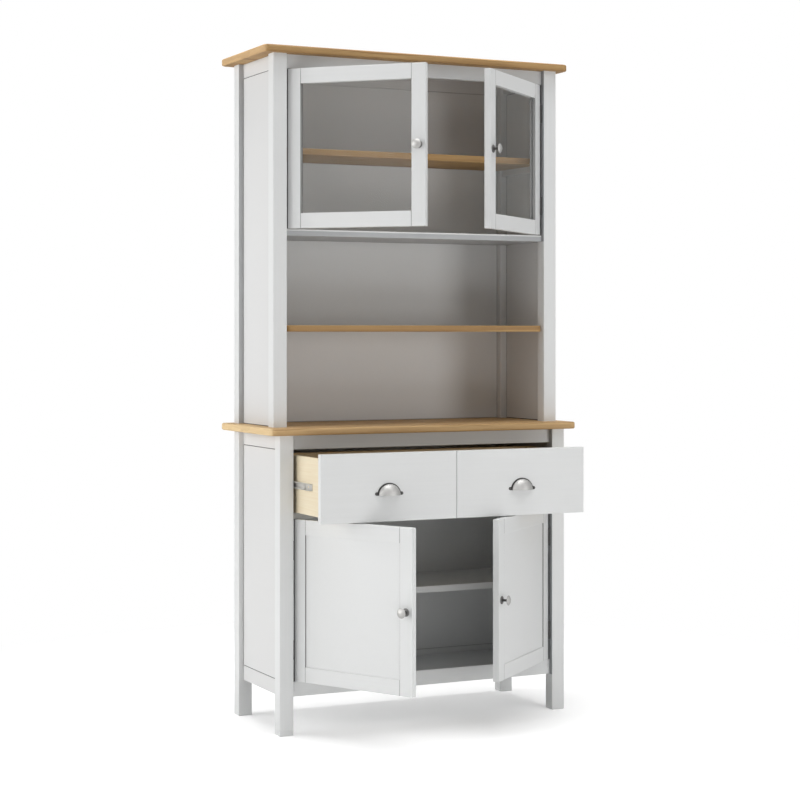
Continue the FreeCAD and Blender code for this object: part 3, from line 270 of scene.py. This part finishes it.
# Shade is painted on the front rails under the worktop and the top board.
rail_paint = lacquered("lacquer_rail_grain", CROSS_GRAIN, shade_under_overhangs)
shaded_side_lacquer = lacquered("lacquer_side_grain", SIDE_GRAIN, light=SHADED_SIDE_PAINT, deep=SHADED_SIDE_PAINT_DEEP)
coat(rail_paint, "base_front_rails", "hutch_front_rail")
coat(cross_paint, "base_back_rails", "hutch_back_rail")
coat(shaded_side_lacquer, "base_side_rails", "hutch_side_rails")


# ---- Side and back panels ----------------------------------------------------------------------------
# Thin smooth fibreboard, painted with a roller before it is fitted, so it shows a fine stipple and no
# grain. The side panels are tongued into their rails, and the back panels are pinned to the shelves.

GAP = 0.002                   # open joint between a panel and its rails, with painted shade in it
POST_GAP = 0.0024             # half the width of the one between a panel and the back posts
BACK_JOINT_SHADE = 0.4              # how dark the painted shade is in the back panels' joints, from 0 to 1
STIPPLE = 260.0               # scale of the roller's marks
ROLLED_RELIEF = 0.0001
BOTTOM_RAIL_TOP = 0.146
PANEL_TONGUE = 0.005          # how far a side panel of the base goes up into its rail
RAIL_EDGES = (                # heights, and which way the open joint lies from each
    (BOTTOM_RAIL_TOP, 1), (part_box("base_side_panels")[1].z - PANEL_TONGUE, -1),
    (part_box("worktop")[1].z, 1), (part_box("hutch_side_rails")[0].z, -1))


def rolled(name, light, deep, post_gaps=(), joint_shade=1.0):
    """Roller paint on fibreboard: a soft stipple with slow changes of tone.

    post_gaps lists the axis across each open joint at the posts, its place on that axis and its half
    width. Shade is painted in the open joints, and joint_shade is how dark it is, from 0 to 1.
    """
    material, place = new_finish(name)
    cloud = stretched(place, (1.0, 1.0, 0.6), 2.6)
    stipple = stretched(place, EVEN, STIPPLE, 3.0)
    colour = blended(cloud * 0.6 + stipple * 0.4, shade(*deep), shade(*light))
    along = dict(zip("XYZ", axes(place)))
    # Painted shade in the open joints at the rails and at the back posts.
    rail_gaps = [("Z", edge + way * GAP / 2, GAP * 0.6) for edge, way in RAIL_EDGES]
    for axis, middle, half in rail_gaps + list(post_gaps):
        colour = blended(near(along[axis], middle, half) * joint_shade, colour, shade(*JOINT))
    finished(place, colour, 0.42 + 0.12 * stipple, stipple, ROLLED_RELIEF)
    return material


post_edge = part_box("hutch_post_back_right")[0]
leg_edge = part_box("base_leg_back_right")[0]
panel_paint = rolled("rolled_paint", PAINT, PAINT_DEEP)
# The side panels have the darker copy of the paint: painted shade.
hutch_side = rolled("rolled_hutch_side", SHADED_SIDE_PAINT, SHADED_SIDE_PAINT_DEEP, [("Y", post_edge.y, POST_GAP)])
base_side = rolled("rolled_base_side", SHADED_SIDE_PAINT, SHADED_SIDE_PAINT_DEEP, [("Y", leg_edge.y, POST_GAP)])
hutch_back = rolled("rolled_back", PAINT, PAINT_DEEP,
                    [("X", post_edge.x, POST_GAP), ("X", -post_edge.x, POST_GAP)], BACK_JOINT_SHADE)
base_back = rolled("rolled_base_back", PAINT, PAINT_DEEP, joint_shade=BACK_JOINT_SHADE)
coat(hutch_side, "hutch_side_panels")
coat(base_side, "base_side_panels")
coat(hutch_back, "hutch_back_panel")
coat(base_back, "base_back_panel")


# ---- Boards inside the cabinets ----------------------------------------------------------------------
# Painted boards notched round the posts: the base's floor, its shelf, the divider under the drawer and
# the floor of the glazed cabinet, with the cleats and battens that carry shelves and drawer runners.

BOARD_ARRIS = 0.0045          # the upper arris of the cabinet floor has no painted shade
BOARD_SLACK = 0.0005          # how far the painted shade's mask reaches past the board, and into the arris
BOARD_SHADE = 0.72             # how dark the painted shade is below the arris, from 0 to 1


def shade_below_the_arris(place):
    """Painted shade on the edges and the underside of the cabinet floor."""
    low, high = [corner.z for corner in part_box("cabinet_floor")]
    return between(axes(place)[2], low - BOARD_SLACK, high - BOARD_ARRIS + BOARD_SLACK) * BOARD_SHADE


coat(cross_paint, "base_shelf", "base_floor", "drawer_divider")
# Shade is painted on the cabinet floor's edges and underside, below its upper arris.
coat(lacquered("lacquer_cabinet_floor", CROSS_GRAIN, shade_below_the_arris), "cabinet_floor")
coat(shaded_side_lacquer, "shelf_cleats", "runner_battens")


# ---- Oak boards --------------------------------------------------------------------------------------
# The worktop, the top board and the two shelves are solid oak glued up from staves that run the length
# of the board, under a matt clear oil. Growth rings show as soft bands, with fine dark pores in them.

WORKTOP_OAK = ((216, 185, 137), (199, 165, 117), (173, 138, 93))     # light, middle and dark wood
# The top board and the two shelves have a darker copy of the oak: painted shade.
SHADED_SHELF_OAK = ((188, 155, 106), (170, 135, 88), (146, 110, 67))
# The ends of the tops are lighter: a painted highlight.
WORKTOP_END_HIGHLIGHT = (232, 206, 160)
TOP_BOARD_END_HIGHLIGHT = (216, 180, 132)
OAK_PORE = (150, 112, 68)
OAK_RELIEF = 0.00015
STAVE = 0.072                 # width of one stave
STAVES_FROM = 5.0             # staves are counted from well in front, so that no number is negative
TOP_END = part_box("worktop")[1].x
END_STARTS, END_IS_FULL = 0.008, 0.002      # from a top's end inwards, where the painted highlight begins and where it is full


def risen(wire, start, end):
    """0 up to a start and 1 from an end on, with a soft passage between them."""
    return wire.node("ShaderNodeMapRange", {"interpolation_type": "SMOOTHSTEP"},
                     {"Value": wire, "From Min": start, "From Max": end})


def three_tones(tone, light, middle, dark, stops):
    """The colours of one wood. The stops are where the dark, middle and light ones are met."""
    colours = [shade(*wood) for wood in (dark, middle, light)]
    return tone.node("ShaderNodeValToRGB", {"stops": list(zip(stops, colours))}, {"Fac": tone})


def oak(name, light, middle, dark, end):
    """Oiled oak in these three tones, with a painted highlight on the ends of the tops."""
    material, place = new_finish(name)
    x, y, z = axes(place)
    count = (y + STAVES_FROM) * (1 / STAVE)
    stave = count.maths("FLOOR")
    shift = stave.node("ShaderNodeTexWhiteNoise", {"noise_dimensions": "1D"}, {"W": stave})
    wander = stretched(place, (0.9, 3.0, 3.0), 2.0)
    across = y - (stave + 0.5) * STAVE + STAVES_FROM
    heart = place.node("ShaderNodeCombineXYZ", {}, {
        "X": x * 0.06 + shift * 7.0,
        "Y": across + (shift - 0.5) * 0.05 + wander * 0.05,
        "Z": z + shift * 0.31 + wander * 0.03})
    rings = place.node(
        "ShaderNodeTexWave", {"wave_type": "RINGS", "rings_direction": "X", "wave_profile": "SAW"},
        {"Vector": heart, "Scale": 14.0, "Distortion": 2.2, "Detail": 2.0, "Detail Scale": 1.4})
    fibre = stretched(place, (4.0, 240.0, 240.0), detail=3.0)
    pores = risen(stretched(place, (22.0, 900.0, 900.0)), 0.60, 0.72)
    tone = rings * 0.36 + fibre * 0.44 + shift * 0.20
    colour = three_tones(tone, light, middle, dark, (0.22, 0.50, 0.80))
    colour = blended(pores * 0.35, colour, shade(*OAK_PORE))
    # A painted highlight on the ends of the tops.
    end_highlight = risen(x.maths("ABSOLUTE"), TOP_END - END_STARTS, TOP_END - END_IS_FULL)
    colour = blended(end_highlight * 0.6, colour, shade(*end))
    finished(place, colour, 0.48 + 0.14 * fibre, fibre * 0.5 - pores * 0.8, OAK_RELIEF,
             **{"Specular IOR Level": 0.3})
    return material


coat(oak("worktop_oak", *WORKTOP_OAK, WORKTOP_END_HIGHLIGHT), "worktop")
coat(oak("shelf_oak", *SHADED_SHELF_OAK, TOP_BOARD_END_HIGHLIGHT), "top_board", "cabinet_shelf", "open_shelf")


# ---- Drawer box --------------------------------------------------------------------------------------
# Sides and back of clear-lacquered pine with the grain lengthwise, grooved for a thin birch bottom,
# behind a painted front. The dowels that hold the carcass together are plain beech.

SIDE_PINE = ((231, 219, 192), (225, 209, 178), (210, 188, 150))      # light, middle and dark wood
# The drawer's back and bottom, and the dowels, have a darker copy of the pine: painted shade.
SHADED_BACK_PINE = ((212, 194, 162), (200, 180, 146), (176, 150, 112))
PINE_RINGS = 12.0             # growth rings across one wave of the wood
PINE_RELIEF = 0.00012


def pine(name, grain, light, middle, dark):
    """Clear-lacquered pine: pale early wood, with thin late lines that run the way of this grain."""
    material, place = new_finish(name)
    long_waves = tuple(0.35 if part < 10 else 9.0 for part in grain)
    wander = stretched(place, long_waves, 1.6, location=(3.0, 1.0, 7.0))
    rings = (wander * PINE_RINGS).maths("FRACT")
    late = rings.maths("POWER", 3.0)
    fibre = stretched(place, grain, detail=3.0)
    tone = 1.0 - (late * 0.18 + fibre * 0.55)
    colour = three_tones(tone, light, middle, dark, (0.10, 0.50, 0.85))
    finished(place, colour, 0.46 + 0.12 * fibre, fibre * 0.6 + late * 0.2, PINE_RELIEF)
    return material


coat(pine("pine_lengthwise", (200.0, 5.0, 200.0), *SIDE_PINE), "drawer_sides")
coat(pine("pine_across", (5.0, 200.0, 200.0), *SHADED_BACK_PINE), "drawer_back", "drawer_bottom", "dowels")
coat(cross_paint, "drawer_front")


# ---- Cup handles -------------------------------------------------------------------------------------
# Two half-moon cups pressed from steel and nickel-plated, brushed to a soft grey, each held by a small
# cross-headed screw through the ear at either end. Shade is painted on their flanges and feet, by the
# drawer front.

NICKEL = (204, 203, 201)
NICKEL_DARK = (166, 165, 163)
SHADE_IS_FULL, SHADE_ENDS = 0.002, 0.006      # from the drawer front outwards, how far the cups have painted shade
CUP_CENTRE = 0.206            # from the middle of the drawer to the middle of a cup
EAR_SCREW = 0.0045            # from the end of an ear to the middle of its screw
SCREW_HEAD = 0.0028           # radius
SCREW_RISE = 0.0014
SLOT_WIDTH = 0.0007
METAL_SHADE = (80, 79, 78)      # painted shade on the metal
METAL_CLOUDS = 70.0           # scale of the clouding
SCRATCH_RELIEF = 0.00004


def brushed(name, light, dark, rough, grain, metallic=1.0, metal_shade_at=None):
    """Metal with fine scratches and slow clouding. metal_shade_at makes the mask of painted shade."""
    material, place = new_finish(name)
    scratch = stretched(place, grain, detail=3.0)
    cloud = stretched(place, EVEN, METAL_CLOUDS)
    colour = blended(scratch * 0.5 + cloud * 0.5, shade(*dark), shade(*light))
    if metal_shade_at:
        colour = blended(metal_shade_at(place), colour, shade(*METAL_SHADE))
    finished(place, colour, rough + 0.16 * scratch, scratch, SCRATCH_RELIEF, Metallic=metallic)
    return material


def sized_tree(name, sizes):
    """A Geometry Nodes tree that takes seats, a finish and these named sizes, and its inputs' wires."""
    tree = bpy.data.node_groups.new(name, "GeometryNodeTree")
    tree.interface.new_socket("Seats", in_out="INPUT", socket_type="NodeSocketGeometry")
    tree.interface.new_socket("Finish", in_out="INPUT", socket_type="NodeSocketMaterial")
    for size, value in sizes.items():
        kind = "NodeSocketInt" if isinstance(value, int) else "NodeSocketFloat"
        tree.interface.new_socket(size, in_out="INPUT", socket_type=kind)
    tree.interface.new_socket("Geometry", in_out="OUTPUT", socket_type="NodeSocketGeometry")
    given = tree.nodes.new("NodeGroupInput")
    return tree, {socket.name: Wire(tree, socket) for socket in given.outputs if socket.name}


def low_cone(radius, height, sides, crown):
    """A low cone cut flat, whose top has this share of its radius."""
    return radius.node("GeometryNodeMeshCone", {}, {
        "Vertices": sides, "Radius Top": radius * crown, "Radius Bottom": radius, "Depth": height})


def set_on(points, shape, rotation):
    """A shape set on every point."""
    return shape.node("GeometryNodeInstanceOnPoints", {}, {
        "Points": points, "Instance": shape, "Rotation": rotation})


def end_tree(shape, finish):
    """Realizes what a tree has made, gives it its finish and sends it out."""
    real = shape.node("GeometryNodeRealizeInstances", {}, {"Geometry": shape})
    dressed = real.node("GeometryNodeSetMaterial", {}, {"Geometry": real, "Material": finish})
    dressed.node("NodeGroupOutput", {}, {"Geometry": dressed})


def grown(name, tree, sizes, finish, seats, facing, body):
    """Runs a tree on seats, points that all face along one direction, and leaves a plain mesh on a body."""
    points = bpy.data.meshes.new(name + "_seats")
    points.from_pydata([tuple(seat) for seat in seats], [], [])
    facings = points.attributes.new("facing", "FLOAT_VECTOR", "POINT")
    facings.data.foreach_set("vector", list(facing) * len(seats))
    start = bpy.data.objects.new(name + "_start", points)
    bpy.context.scene.collection.objects.link(start)
    modifier = start.modifiers.new("grow", "NODES")
    modifier.node_group = tree
    values = {**sizes, "Finish": finish}
    for socket in tree.interface.items_tree:
        if socket.item_type == "SOCKET" and socket.in_out == "INPUT" and socket.name in values:
            modifier[socket.identifier] = values[socket.name]
    start.update_tag()
    evaluated = start.evaluated_get(bpy.context.evaluated_depsgraph_get())
    mesh = bpy.data.meshes.new_from_object(evaluated)
    mesh.name = name
    start.modifiers.remove(modifier)
    bpy.data.objects.remove(start)
    piece = bpy.data.objects.new(name, mesh)
    bpy.context.scene.collection.objects.link(piece)
    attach(piece, body)
    return piece


def shade_by_the_front(place):
    """Painted shade on the flange and the foot of the cups, next to the drawer front."""
    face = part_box("drawer_front")[0].y
    return risen(axes(place)[1], face - SHADE_ENDS, face - SHADE_IS_FULL)


def raised(shape, height):
    """A shape moved up its own z."""
    lift = shape.node("ShaderNodeCombineXYZ", {}, {"Z": height})
    return shape.node("GeometryNodeTransform", {}, {"Geometry": shape, "Translation": lift})


def as_they_face(wire):
    """The rotation that turns a shape's own z to the way its seat faces."""
    way = wire.node("GeometryNodeInputNamedAttribute", {"data_type": "FLOAT_VECTOR"}, {"Name": "facing"})
    return way.node("FunctionNodeAlignRotationToVector", {"axis": "Z"}, {"Vector": way})


nickel = brushed("brushed_nickel", NICKEL, NICKEL_DARK, 0.46, (900.0, 900.0, 60.0), metal_shade_at=shade_by_the_front)
coat(nickel, "cup_handles", "handle_screws")

# A drum with a low crown on it, less two crossed bars.
screw_tree, given = sized_tree("cross_headed_screw", {
    "Head Radius": 0.0, "Head Rise": 0.0, "Slot Width": 0.0})
radius, rise, slot_width = given["Head Radius"], given["Head Rise"], given["Slot Width"]
drum = radius.node("GeometryNodeMeshCylinder", {}, {"Vertices": 24, "Radius": radius, "Depth": rise * 0.5})
crown = low_cone(radius, rise * 0.5, 24, 0.7)
bars = []
for width, length in ((radius * 1.25, slot_width), (slot_width, radius * 1.25)):
    size = radius.node("ShaderNodeCombineXYZ", {}, {"X": width, "Y": length, "Z": rise * 0.7})
    bars.append(raised(size.node("GeometryNodeMeshCube", {}, {"Size": size}), rise * 0.95))
whole = drum.node("GeometryNodeMeshBoolean", {"operation": "UNION"},
                  {"Mesh 2": [raised(drum, rise * 0.25), raised(crown, rise * 0.5)]})
crossed = whole.node("GeometryNodeMeshBoolean", {"operation": "DIFFERENCE"},
                     {"Mesh 1": whole, "Mesh 2": bars})
end_tree(set_on(given["Seats"], crossed, as_they_face(crossed)), given["Finish"])

screw_low, screw_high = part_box("handle_screws")
outer_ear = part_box("cup_handles")[1].x - EAR_SCREW
inner_ear = 2 * CUP_CENTRE - outer_ear
screw_seats = [(side * x, screw_low.y + SCREW_RISE, (screw_low.z + screw_high.z) / 2)
               for side in (-1, 1) for x in (outer_ear, inner_ear)]
screw_sizes = {"Head Radius": SCREW_HEAD, "Head Rise": SCREW_RISE, "Slot Width": SLOT_WIDTH}
cup_screws = grown("cup_handle_screws", screw_tree, screw_sizes, nickel, screw_seats, (0.0, -1.0, 0.0),
                   "drawer")
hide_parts("handle_screws")


# ---- Back panel pins ---------------------------------------------------------------------------------
# Zinc-plated steel pins, driven from behind through the back panels into the edge of every shelf, in
# rows of nine. Only their low heads stand proud.

PIN_HEAD = 0.0016             # radius
PIN_PROUD = 0.0005
PIN_SPACING = 0.098
PINS_IN_ROW = 9
ZINC = (214, 212, 207)
ZINC_DARK = (184, 182, 177)

zinc = brushed("zinc_plated_steel", ZINC, ZINC_DARK, 0.36, (900.0, 30.0, 900.0), 0.5)

pin_tree, given = sized_tree("pin_row", {"Pins": 1, "Spacing": 0.0, "Head Radius": 0.0, "Head Height": 0.0})
row_shift = given["Spacing"] * (given["Pins"] - 1.0) * -0.5
row_start = row_shift.node("ShaderNodeCombineXYZ", {}, {"X": row_shift})
row_step = row_shift.node("ShaderNodeCombineXYZ", {}, {"X": given["Spacing"]})
row = row_start.node("GeometryNodeMeshLine", {"mode": "OFFSET"},
                     {"Count": given["Pins"], "Start Location": row_start, "Offset": row_step})
rows = row.node("GeometryNodeInstanceOnPoints", {}, {"Points": given["Seats"], "Instance": row})
rows = rows.node("GeometryNodeRealizeInstances", {}, {"Geometry": rows})
pin_head = low_cone(given["Head Radius"], given["Head Height"], 12, 0.6)
end_tree(set_on(rows, pin_head, (-math.pi / 2, 0.0, 0.0)), given["Finish"])

shelf_backs = []
for board in ("base_shelf", "drawer_divider", "open_shelf", "cabinet_floor", "cabinet_shelf"):
    low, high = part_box(board)
    panel = "base_back_panel" if high.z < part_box("worktop")[0].z else "hutch_back_panel"
    shelf_backs.append((0.0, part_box(panel)[1].y + PIN_PROUD / 2, (low.z + high.z) / 2))
pin_sizes = {"Pins": PINS_IN_ROW, "Spacing": PIN_SPACING, "Head Radius": PIN_HEAD, "Head Height": PIN_PROUD}
grown("panel_pins", pin_tree, pin_sizes, zinc, shelf_backs, (0.0, 1.0, 0.0), "carcass")


# ---- Drawer runners ----------------------------------------------------------------------------------
# Three nested channels of bright zinc-plated steel on each side, which telescope as the drawer is drawn.
# The inner channel is fixed to the drawer side, and the outer one to a batten inside the carcass.

coat(zinc, "runner_cabinet_members", "runner_middle_members", "runner_drawer_members")


# ---- Doors -------------------------------------------------------------------------------------------
# Frames of two stiles and two rails, mortised and tenoned and then lacquered: the upper pair is rebated
# for a pane held by beads, the lower pair grooved for a flat panel. The grain turns from stile to rail.

DOOR_WIDTH = 0.406
STILE = 0.041
SEAM = 0.0016                 # width of the line where a rail meets a stile
SEAM_DEPTH = 0.7              # how dark the painted shade in that line is, from 0 to 1
HINGE_SHADE = {"left": 0.0034, "right": 0.0008}      # how far painted shade reaches along a hinged edge, from its pin

joints = {joint["child"]: joint for joint in frame["joints"]}
doors = [body for body in joints if body.endswith("_door")]
glazed_doors = [door for door in doors if door.startswith("upper")]


def resting_turn(joint):
    """How far a door is turned about its pin at rest from lying along x, in radians."""
    return math.radians(joint["range_deg"][0]) * (1 if joint["axis"][2] < 0 else -1)


def on_the_flat(place, joint):
    """The place on a door as if it lay along x from its hinge pin, wherever it stands."""
    return place.node("ShaderNodeMapping", {"vector_type": "TEXTURE"}, {
        "Vector": place, "Location": tuple(joint["pos_m"]), "Rotation": (0.0, 0.0, resting_turn(joint))})


def door_lacquer(name, joint, hinge_shade):
    """The lacquer of one door. Grain runs up the stiles and along the rails, wherever the door stands.

    Shade is painted where the rails meet the stiles and along the hinged edge.
    """

    def on_door(place):
        flat = on_the_flat(place, joint)
        from_pin = axes(flat)[0].maths("ABSOLUTE")
        from_middle = (from_pin - DOOR_WIDTH / 2).maths("ABSOLUTE")
        to_joint = DOOR_WIDTH / 2 - STILE
        inside = from_middle.maths("LESS_THAN", to_joint)
        stile_grain = stretched(flat, UPRIGHT_GRAIN, detail=4.0)
        rail_grain = stretched(flat, CROSS_GRAIN, detail=4.0)
        # Painted shade where a rail meets a stile, and along the hinged edge.
        seam_shade = near(from_middle, to_joint, SEAM / 2) * SEAM_DEPTH
        edge = from_pin.maths("LESS_THAN", hinge_shade)
        return flat, inside * rail_grain + (1.0 - inside) * stile_grain, seam_shade + edge

    return lacquered(name, place_on=on_door)


for door in doors:
    hinge_shade = HINGE_SHADE["left" if "left" in door else "right"]
    lacquer = door_lacquer(door + "_lacquer", joints[door], hinge_shade)
    coat(lacquer, door + "_frame")
    if door in glazed_doors:
        coat(lacquer, door + "_beads")
    else:
        coat(panel_paint, door + "_panel")


# ---- Bead brads --------------------------------------------------------------------------------------
# Fine zinc-plated brads that hold the glazing beads in their rebates, three along each level bead and
# four up each upright one, with their heads just proud of the beads on the inside of the doors.

BEAD_WIDTH = 0.008
BRAD_HEAD = 0.0009            # radius
BRAD_PROUD = 0.0003
BRADS_ACROSS = 3
BRADS_UP = 4

brad_tree, given = sized_tree("bead_brads", {"Head Radius": 0.0, "Head Height": 0.0})
brad_head = low_cone(given["Head Radius"], given["Head Height"], 10, 0.7)
end_tree(set_on(given["Seats"], brad_head, as_they_face(brad_head)), given["Finish"])


def flat_corners(node, joint):
    """A node's corners as if its door lay along x from the hinge pin, with the pin at the origin."""
    back = Matrix.Rotation(-resting_turn(joint), 3, "Z")
    return [back @ (corner.co - Vector(joint["pos_m"])) for corner in frame["nodes"][node].data.vertices]


def evenly(low, high, count):
    """Places in the middles of this many equal parts."""
    return [low + (high - low) * (step + 0.5) / count for step in range(count)]


for door in glazed_doors:
    corners = flat_corners(door + "_beads", joints[door])
    low, high = [Vector([end(corner[axis] for corner in corners) for axis in range(3)]) for end in (min, max)]
    inset = Vector((BEAD_WIDTH / 2, 0.0, BEAD_WIDTH / 2))
    low, high = low + inset, high - inset
    spots = [(x, z) for x in evenly(low.x, high.x, BRADS_ACROSS) for z in (low.z, high.z)]
    spots += [(x, z) for z in evenly(low.z, high.z, BRADS_UP) for x in (low.x, high.x)]
    there = Matrix.Rotation(resting_turn(joints[door]), 3, "Z")
    seats = [there @ Vector((x, high.y, z)) + Vector(joints[door]["pos_m"]) for x, z in spots]
    grown(door + "_brads", brad_tree, {"Head Radius": BRAD_HEAD, "Head Height": BRAD_PROUD}, zinc, seats,
          there @ Vector((0.0, 1.0, 0.0)), door)


# ---- Panes -------------------------------------------------------------------------------------------
# Clear float glass, four millimetres thick, with a few faint smears from cleaning. Each pane lies in
# the rebate of an upper door, held by four beads.

GLASS_IOR = 1.5
SMEARED = (226, 232, 230)
CLEAN = (236, 240, 238)
MIRRORING = 0.12              # how much of the full reflection by angle a pane shows
MIRRORING_LEAST = 0.003


def float_glass(name):
    """Thin glass: light passes straight through, with a faint reflection that grows towards the edge."""
    material, place = new_finish(name)
    smear = stretched(place, (1.0, 1.0, 2.5), 9.0, 3.0)
    clear = place.node("ShaderNodeBsdfTransparent", {}, {"Color": (0.93, 0.932, 0.935, 1.0)})
    gloss = place.node("ShaderNodeBsdfPrincipled", {}, {
        "Base Color": blended(smear, shade(*SMEARED), shade(*CLEAN)), "Roughness": 0.02 + 0.03 * smear,
        "IOR": GLASS_IOR, "Specular IOR Level": 1.0, "Metallic": 0.6})
    fresnel = place.node("ShaderNodeFresnel", {}, {"IOR": GLASS_IOR})
    share = fresnel * MIRRORING + MIRRORING_LEAST
    pane = clear.node("ShaderNodeMixShader", {}, {0: share, 1: clear, 2: gloss})
    pane.node("ShaderNodeOutputMaterial", {}, {"Surface": pane})
    return material


coat(float_glass("float_glass"), "upper_left_door_glass", "upper_right_door_glass")


# ---- Knobs -------------------------------------------------------------------------------------------
# Domed knobs turned from steel and nickel-plated like the cups, each bolted through its stile. The cap
# is brushed bright, and the neck and the rose behind it have painted shade, the rose less.

KNOB_CAP = 0.007              # height of the domed cap
KNOB_ROSE = 0.023             # from the top of the cap down to the rose
KNOB_GRAIN = (500.0, 500.0, 500.0)
ROSE_BRIGHTER = 0.35          # how much less painted shade the rose has than the neck


def shade_behind_the_cap(joint, knob):
    """Painted shade on the neck, the rose and the back of the cap of the knob on this door."""
    cap_front = min(corner.y for corner in flat_corners(knob, joint))

    def mask(place):
        depth = axes(on_the_flat(place, joint))[1]
        neck = risen(depth, cap_front + KNOB_CAP * 0.7, cap_front + KNOB_CAP * 1.2)
        return neck - depth.maths("GREATER_THAN", cap_front + KNOB_ROSE) * ROSE_BRIGHTER

    return mask


for door in doors:
    knob = door + "_knob"
    knob_shade = shade_behind_the_cap(joints[door], knob)
    coat(brushed(knob + "_nickel", NICKEL, NICKEL_DARK, 0.48, KNOB_GRAIN, metal_shade_at=knob_shade), knob)


# ---- Hinges, catches and wall brackets ---------------------------------------------------------------
# Steel butt hinges in the gap between door and post, stoved in dark grey enamel, plastic-cased catches
# with their strike plates, and two zinc-plated brackets that hold the hutch back to the wall.

ENAMEL = (84, 84, 83)
ENAMEL_DARK = (72, 72, 71)
PLASTIC = (232, 231, 227)
PLASTIC_DARK = (224, 223, 219)
SKIN_GRAIN = 1500.0           # scale of the fine grain of a moulded or stoved skin
SKIN_CLOUDS = 60.0
SKIN_RELIEF = 0.00005


def moulded(name, light, dark, rough):
    """A smooth moulded or stoved skin with a very fine grain."""
    material, place = new_finish(name)
    grain = stretched(place, EVEN, SKIN_GRAIN, 1.0)
    cloud = stretched(place, EVEN, SKIN_CLOUDS)
    finished(place, blended(cloud, shade(*dark), shade(*light)), rough + 0.1 * grain, grain, SKIN_RELIEF)
    return material


enamel = moulded("hinge_enamel", ENAMEL, ENAMEL_DARK, 0.38)
coat(enamel, "hinge_post_leaves", "hinge_pins")
for door in doors:
    coat(enamel, door + "_fittings")
coat(moulded("moulded_plastic", PLASTIC, PLASTIC_DARK, 0.48), "door_catches")
coat(zinc, "wall_brackets")


# ---- Floor, light and camera -------------------------------------------------------------------------
# A pale floor that fades to white, soft light from the left, from above and low from the front, and a
# camera with a long lens. The lamps are hidden from the camera, because one stands close in front.

WHITE = (1.0, 1.0, 1.0, 1.0)
FLOOR_PAINT = (0.90, 0.90, 0.90, 1.0)
FLOOR_SPREAD = 40.0           # from the middle to each side
FLOOR_GLOW = 0.32             # added to the lit floor, for the camera alone
FADE_STARTS, FADE_ENDS = 0.9, 1.8      # from the middle of the dresser, where the floor passes to white
WORLD_LIGHT = 0.24            # strength of the world as light on the dresser,
WORLD_MIRRORED = 0.60         # in metal and glass,
WORLD_SEEN = 1.0              # and to the camera

floor_mesh = bpy.data.meshes.new("floor")
floor_corners = [(x * FLOOR_SPREAD, y * FLOOR_SPREAD, 0) for x, y in ((-1, -1), (1, -1), (1, 1), (-1, 1))]
floor_mesh.from_pydata(floor_corners, [], [(0, 1, 2, 3)])
floor = bpy.data.objects.new("floor", floor_mesh)
bpy.context.scene.collection.objects.link(floor)
floor_finish, place = new_finish("studio_floor")
seen = place.node("ShaderNodeLightPath", {}, {}, out="Is Camera Ray")
matt = place.node("ShaderNodeBsdfDiffuse", {}, {"Color": FLOOR_PAINT})
glow = place.node("ShaderNodeEmission", {}, {"Color": WHITE, "Strength": seen * FLOOR_GLOW})
lit = place.node("ShaderNodeAddShader", {}, {0: matt, 1: glow})
distance = place.node("ShaderNodeVectorMath", {"operation": "LENGTH"}, {0: place}, out=1)
white = place.node("ShaderNodeEmission", {}, {"Color": WHITE, "Strength": 1.0})
away = risen(distance, FADE_STARTS, FADE_ENDS) * seen
both = place.node("ShaderNodeMixShader", {}, {0: away, 1: lit, 2: white})
both.node("ShaderNodeOutputMaterial", {}, {"Surface": both})
floor_mesh.materials.append(floor_finish)

world = bpy.data.worlds.new("studio")
bpy.context.scene.world = world
world.use_nodes = True
seen = first_wire(world.node_tree, "ShaderNodeLightPath", "Is Camera Ray")
mirrored = seen.beside("Is Glossy Ray") + seen.beside("Is Transmission Ray")
strength = seen * (WORLD_SEEN - WORLD_LIGHT) + mirrored * (WORLD_MIRRORED - WORLD_LIGHT) + WORLD_LIGHT
sky = seen.node("ShaderNodeBackground", {}, {"Color": WHITE, "Strength": strength})
sky.node("ShaderNodeOutputWorld", {}, {"Surface": sky})


def softbox(name, spot, aim, size, power):
    """A rectangular lamp at a spot, turned to its aim, of this power in watts."""
    lamp = bpy.data.lights.new(name, "AREA")
    lamp.shape = "RECTANGLE"
    lamp.size, lamp.size_y = size
    lamp.energy = power
    holder = bpy.data.objects.new(name, lamp)
    holder.location = spot
    holder.visible_camera = False
    holder.rotation_euler = (Vector(aim) - Vector(spot)).to_track_quat("-Z", "Y").to_euler()
    bpy.context.scene.collection.objects.link(holder)
    return holder


softbox("left_softbox", (-4.5, 0.0, 1.6), (0.0, 0.0, 1.0), (2.6, 2.6), 60)
softbox("back_left_softbox", (-4.2, 2.2, 1.8), (0.0, 0.0, 1.0), (2.6, 2.6), 58)
softbox("front_softbox", (2.8, -4.6, 1.0), (0.0, 0.0, 0.9), (1.6, 1.6), 44)
softbox("low_front_softbox", (-0.2, -2.0, 0.3), (0.0, 0.0, 0.35), (1.4, 0.5), 3)
softbox("top_softbox", (0.0, 0.0, 4.8), (0.0, 0.0, 0.0), (2.6, 2.6), 168)
softbox("top_front_softbox", (0.5, -3.0, 4.4), (0.0, 0.0, 0.8), (2.6, 2.6), 32)
reflector = softbox("reflector", (-4.5, -2.3, 2.05), (-0.3, -0.3, 1.6), (1.4, 1.4), 36)
reflector.visible_diffuse = False

camera = bpy.data.cameras.new("camera")
camera.sensor_width = 36.0
camera.lens = 85.40
camera.shift_y = -0.0845
viewer = bpy.data.objects.new("camera", camera)
viewer.location = (-2.4121, -5.0005, 1.1081)
viewer.rotation_euler = (math.pi / 2, 0.0, -math.radians(25.745))
bpy.context.scene.collection.objects.link(viewer)
bpy.context.scene.camera = viewer
bpy.context.scene.view_settings.view_transform = "Standard"
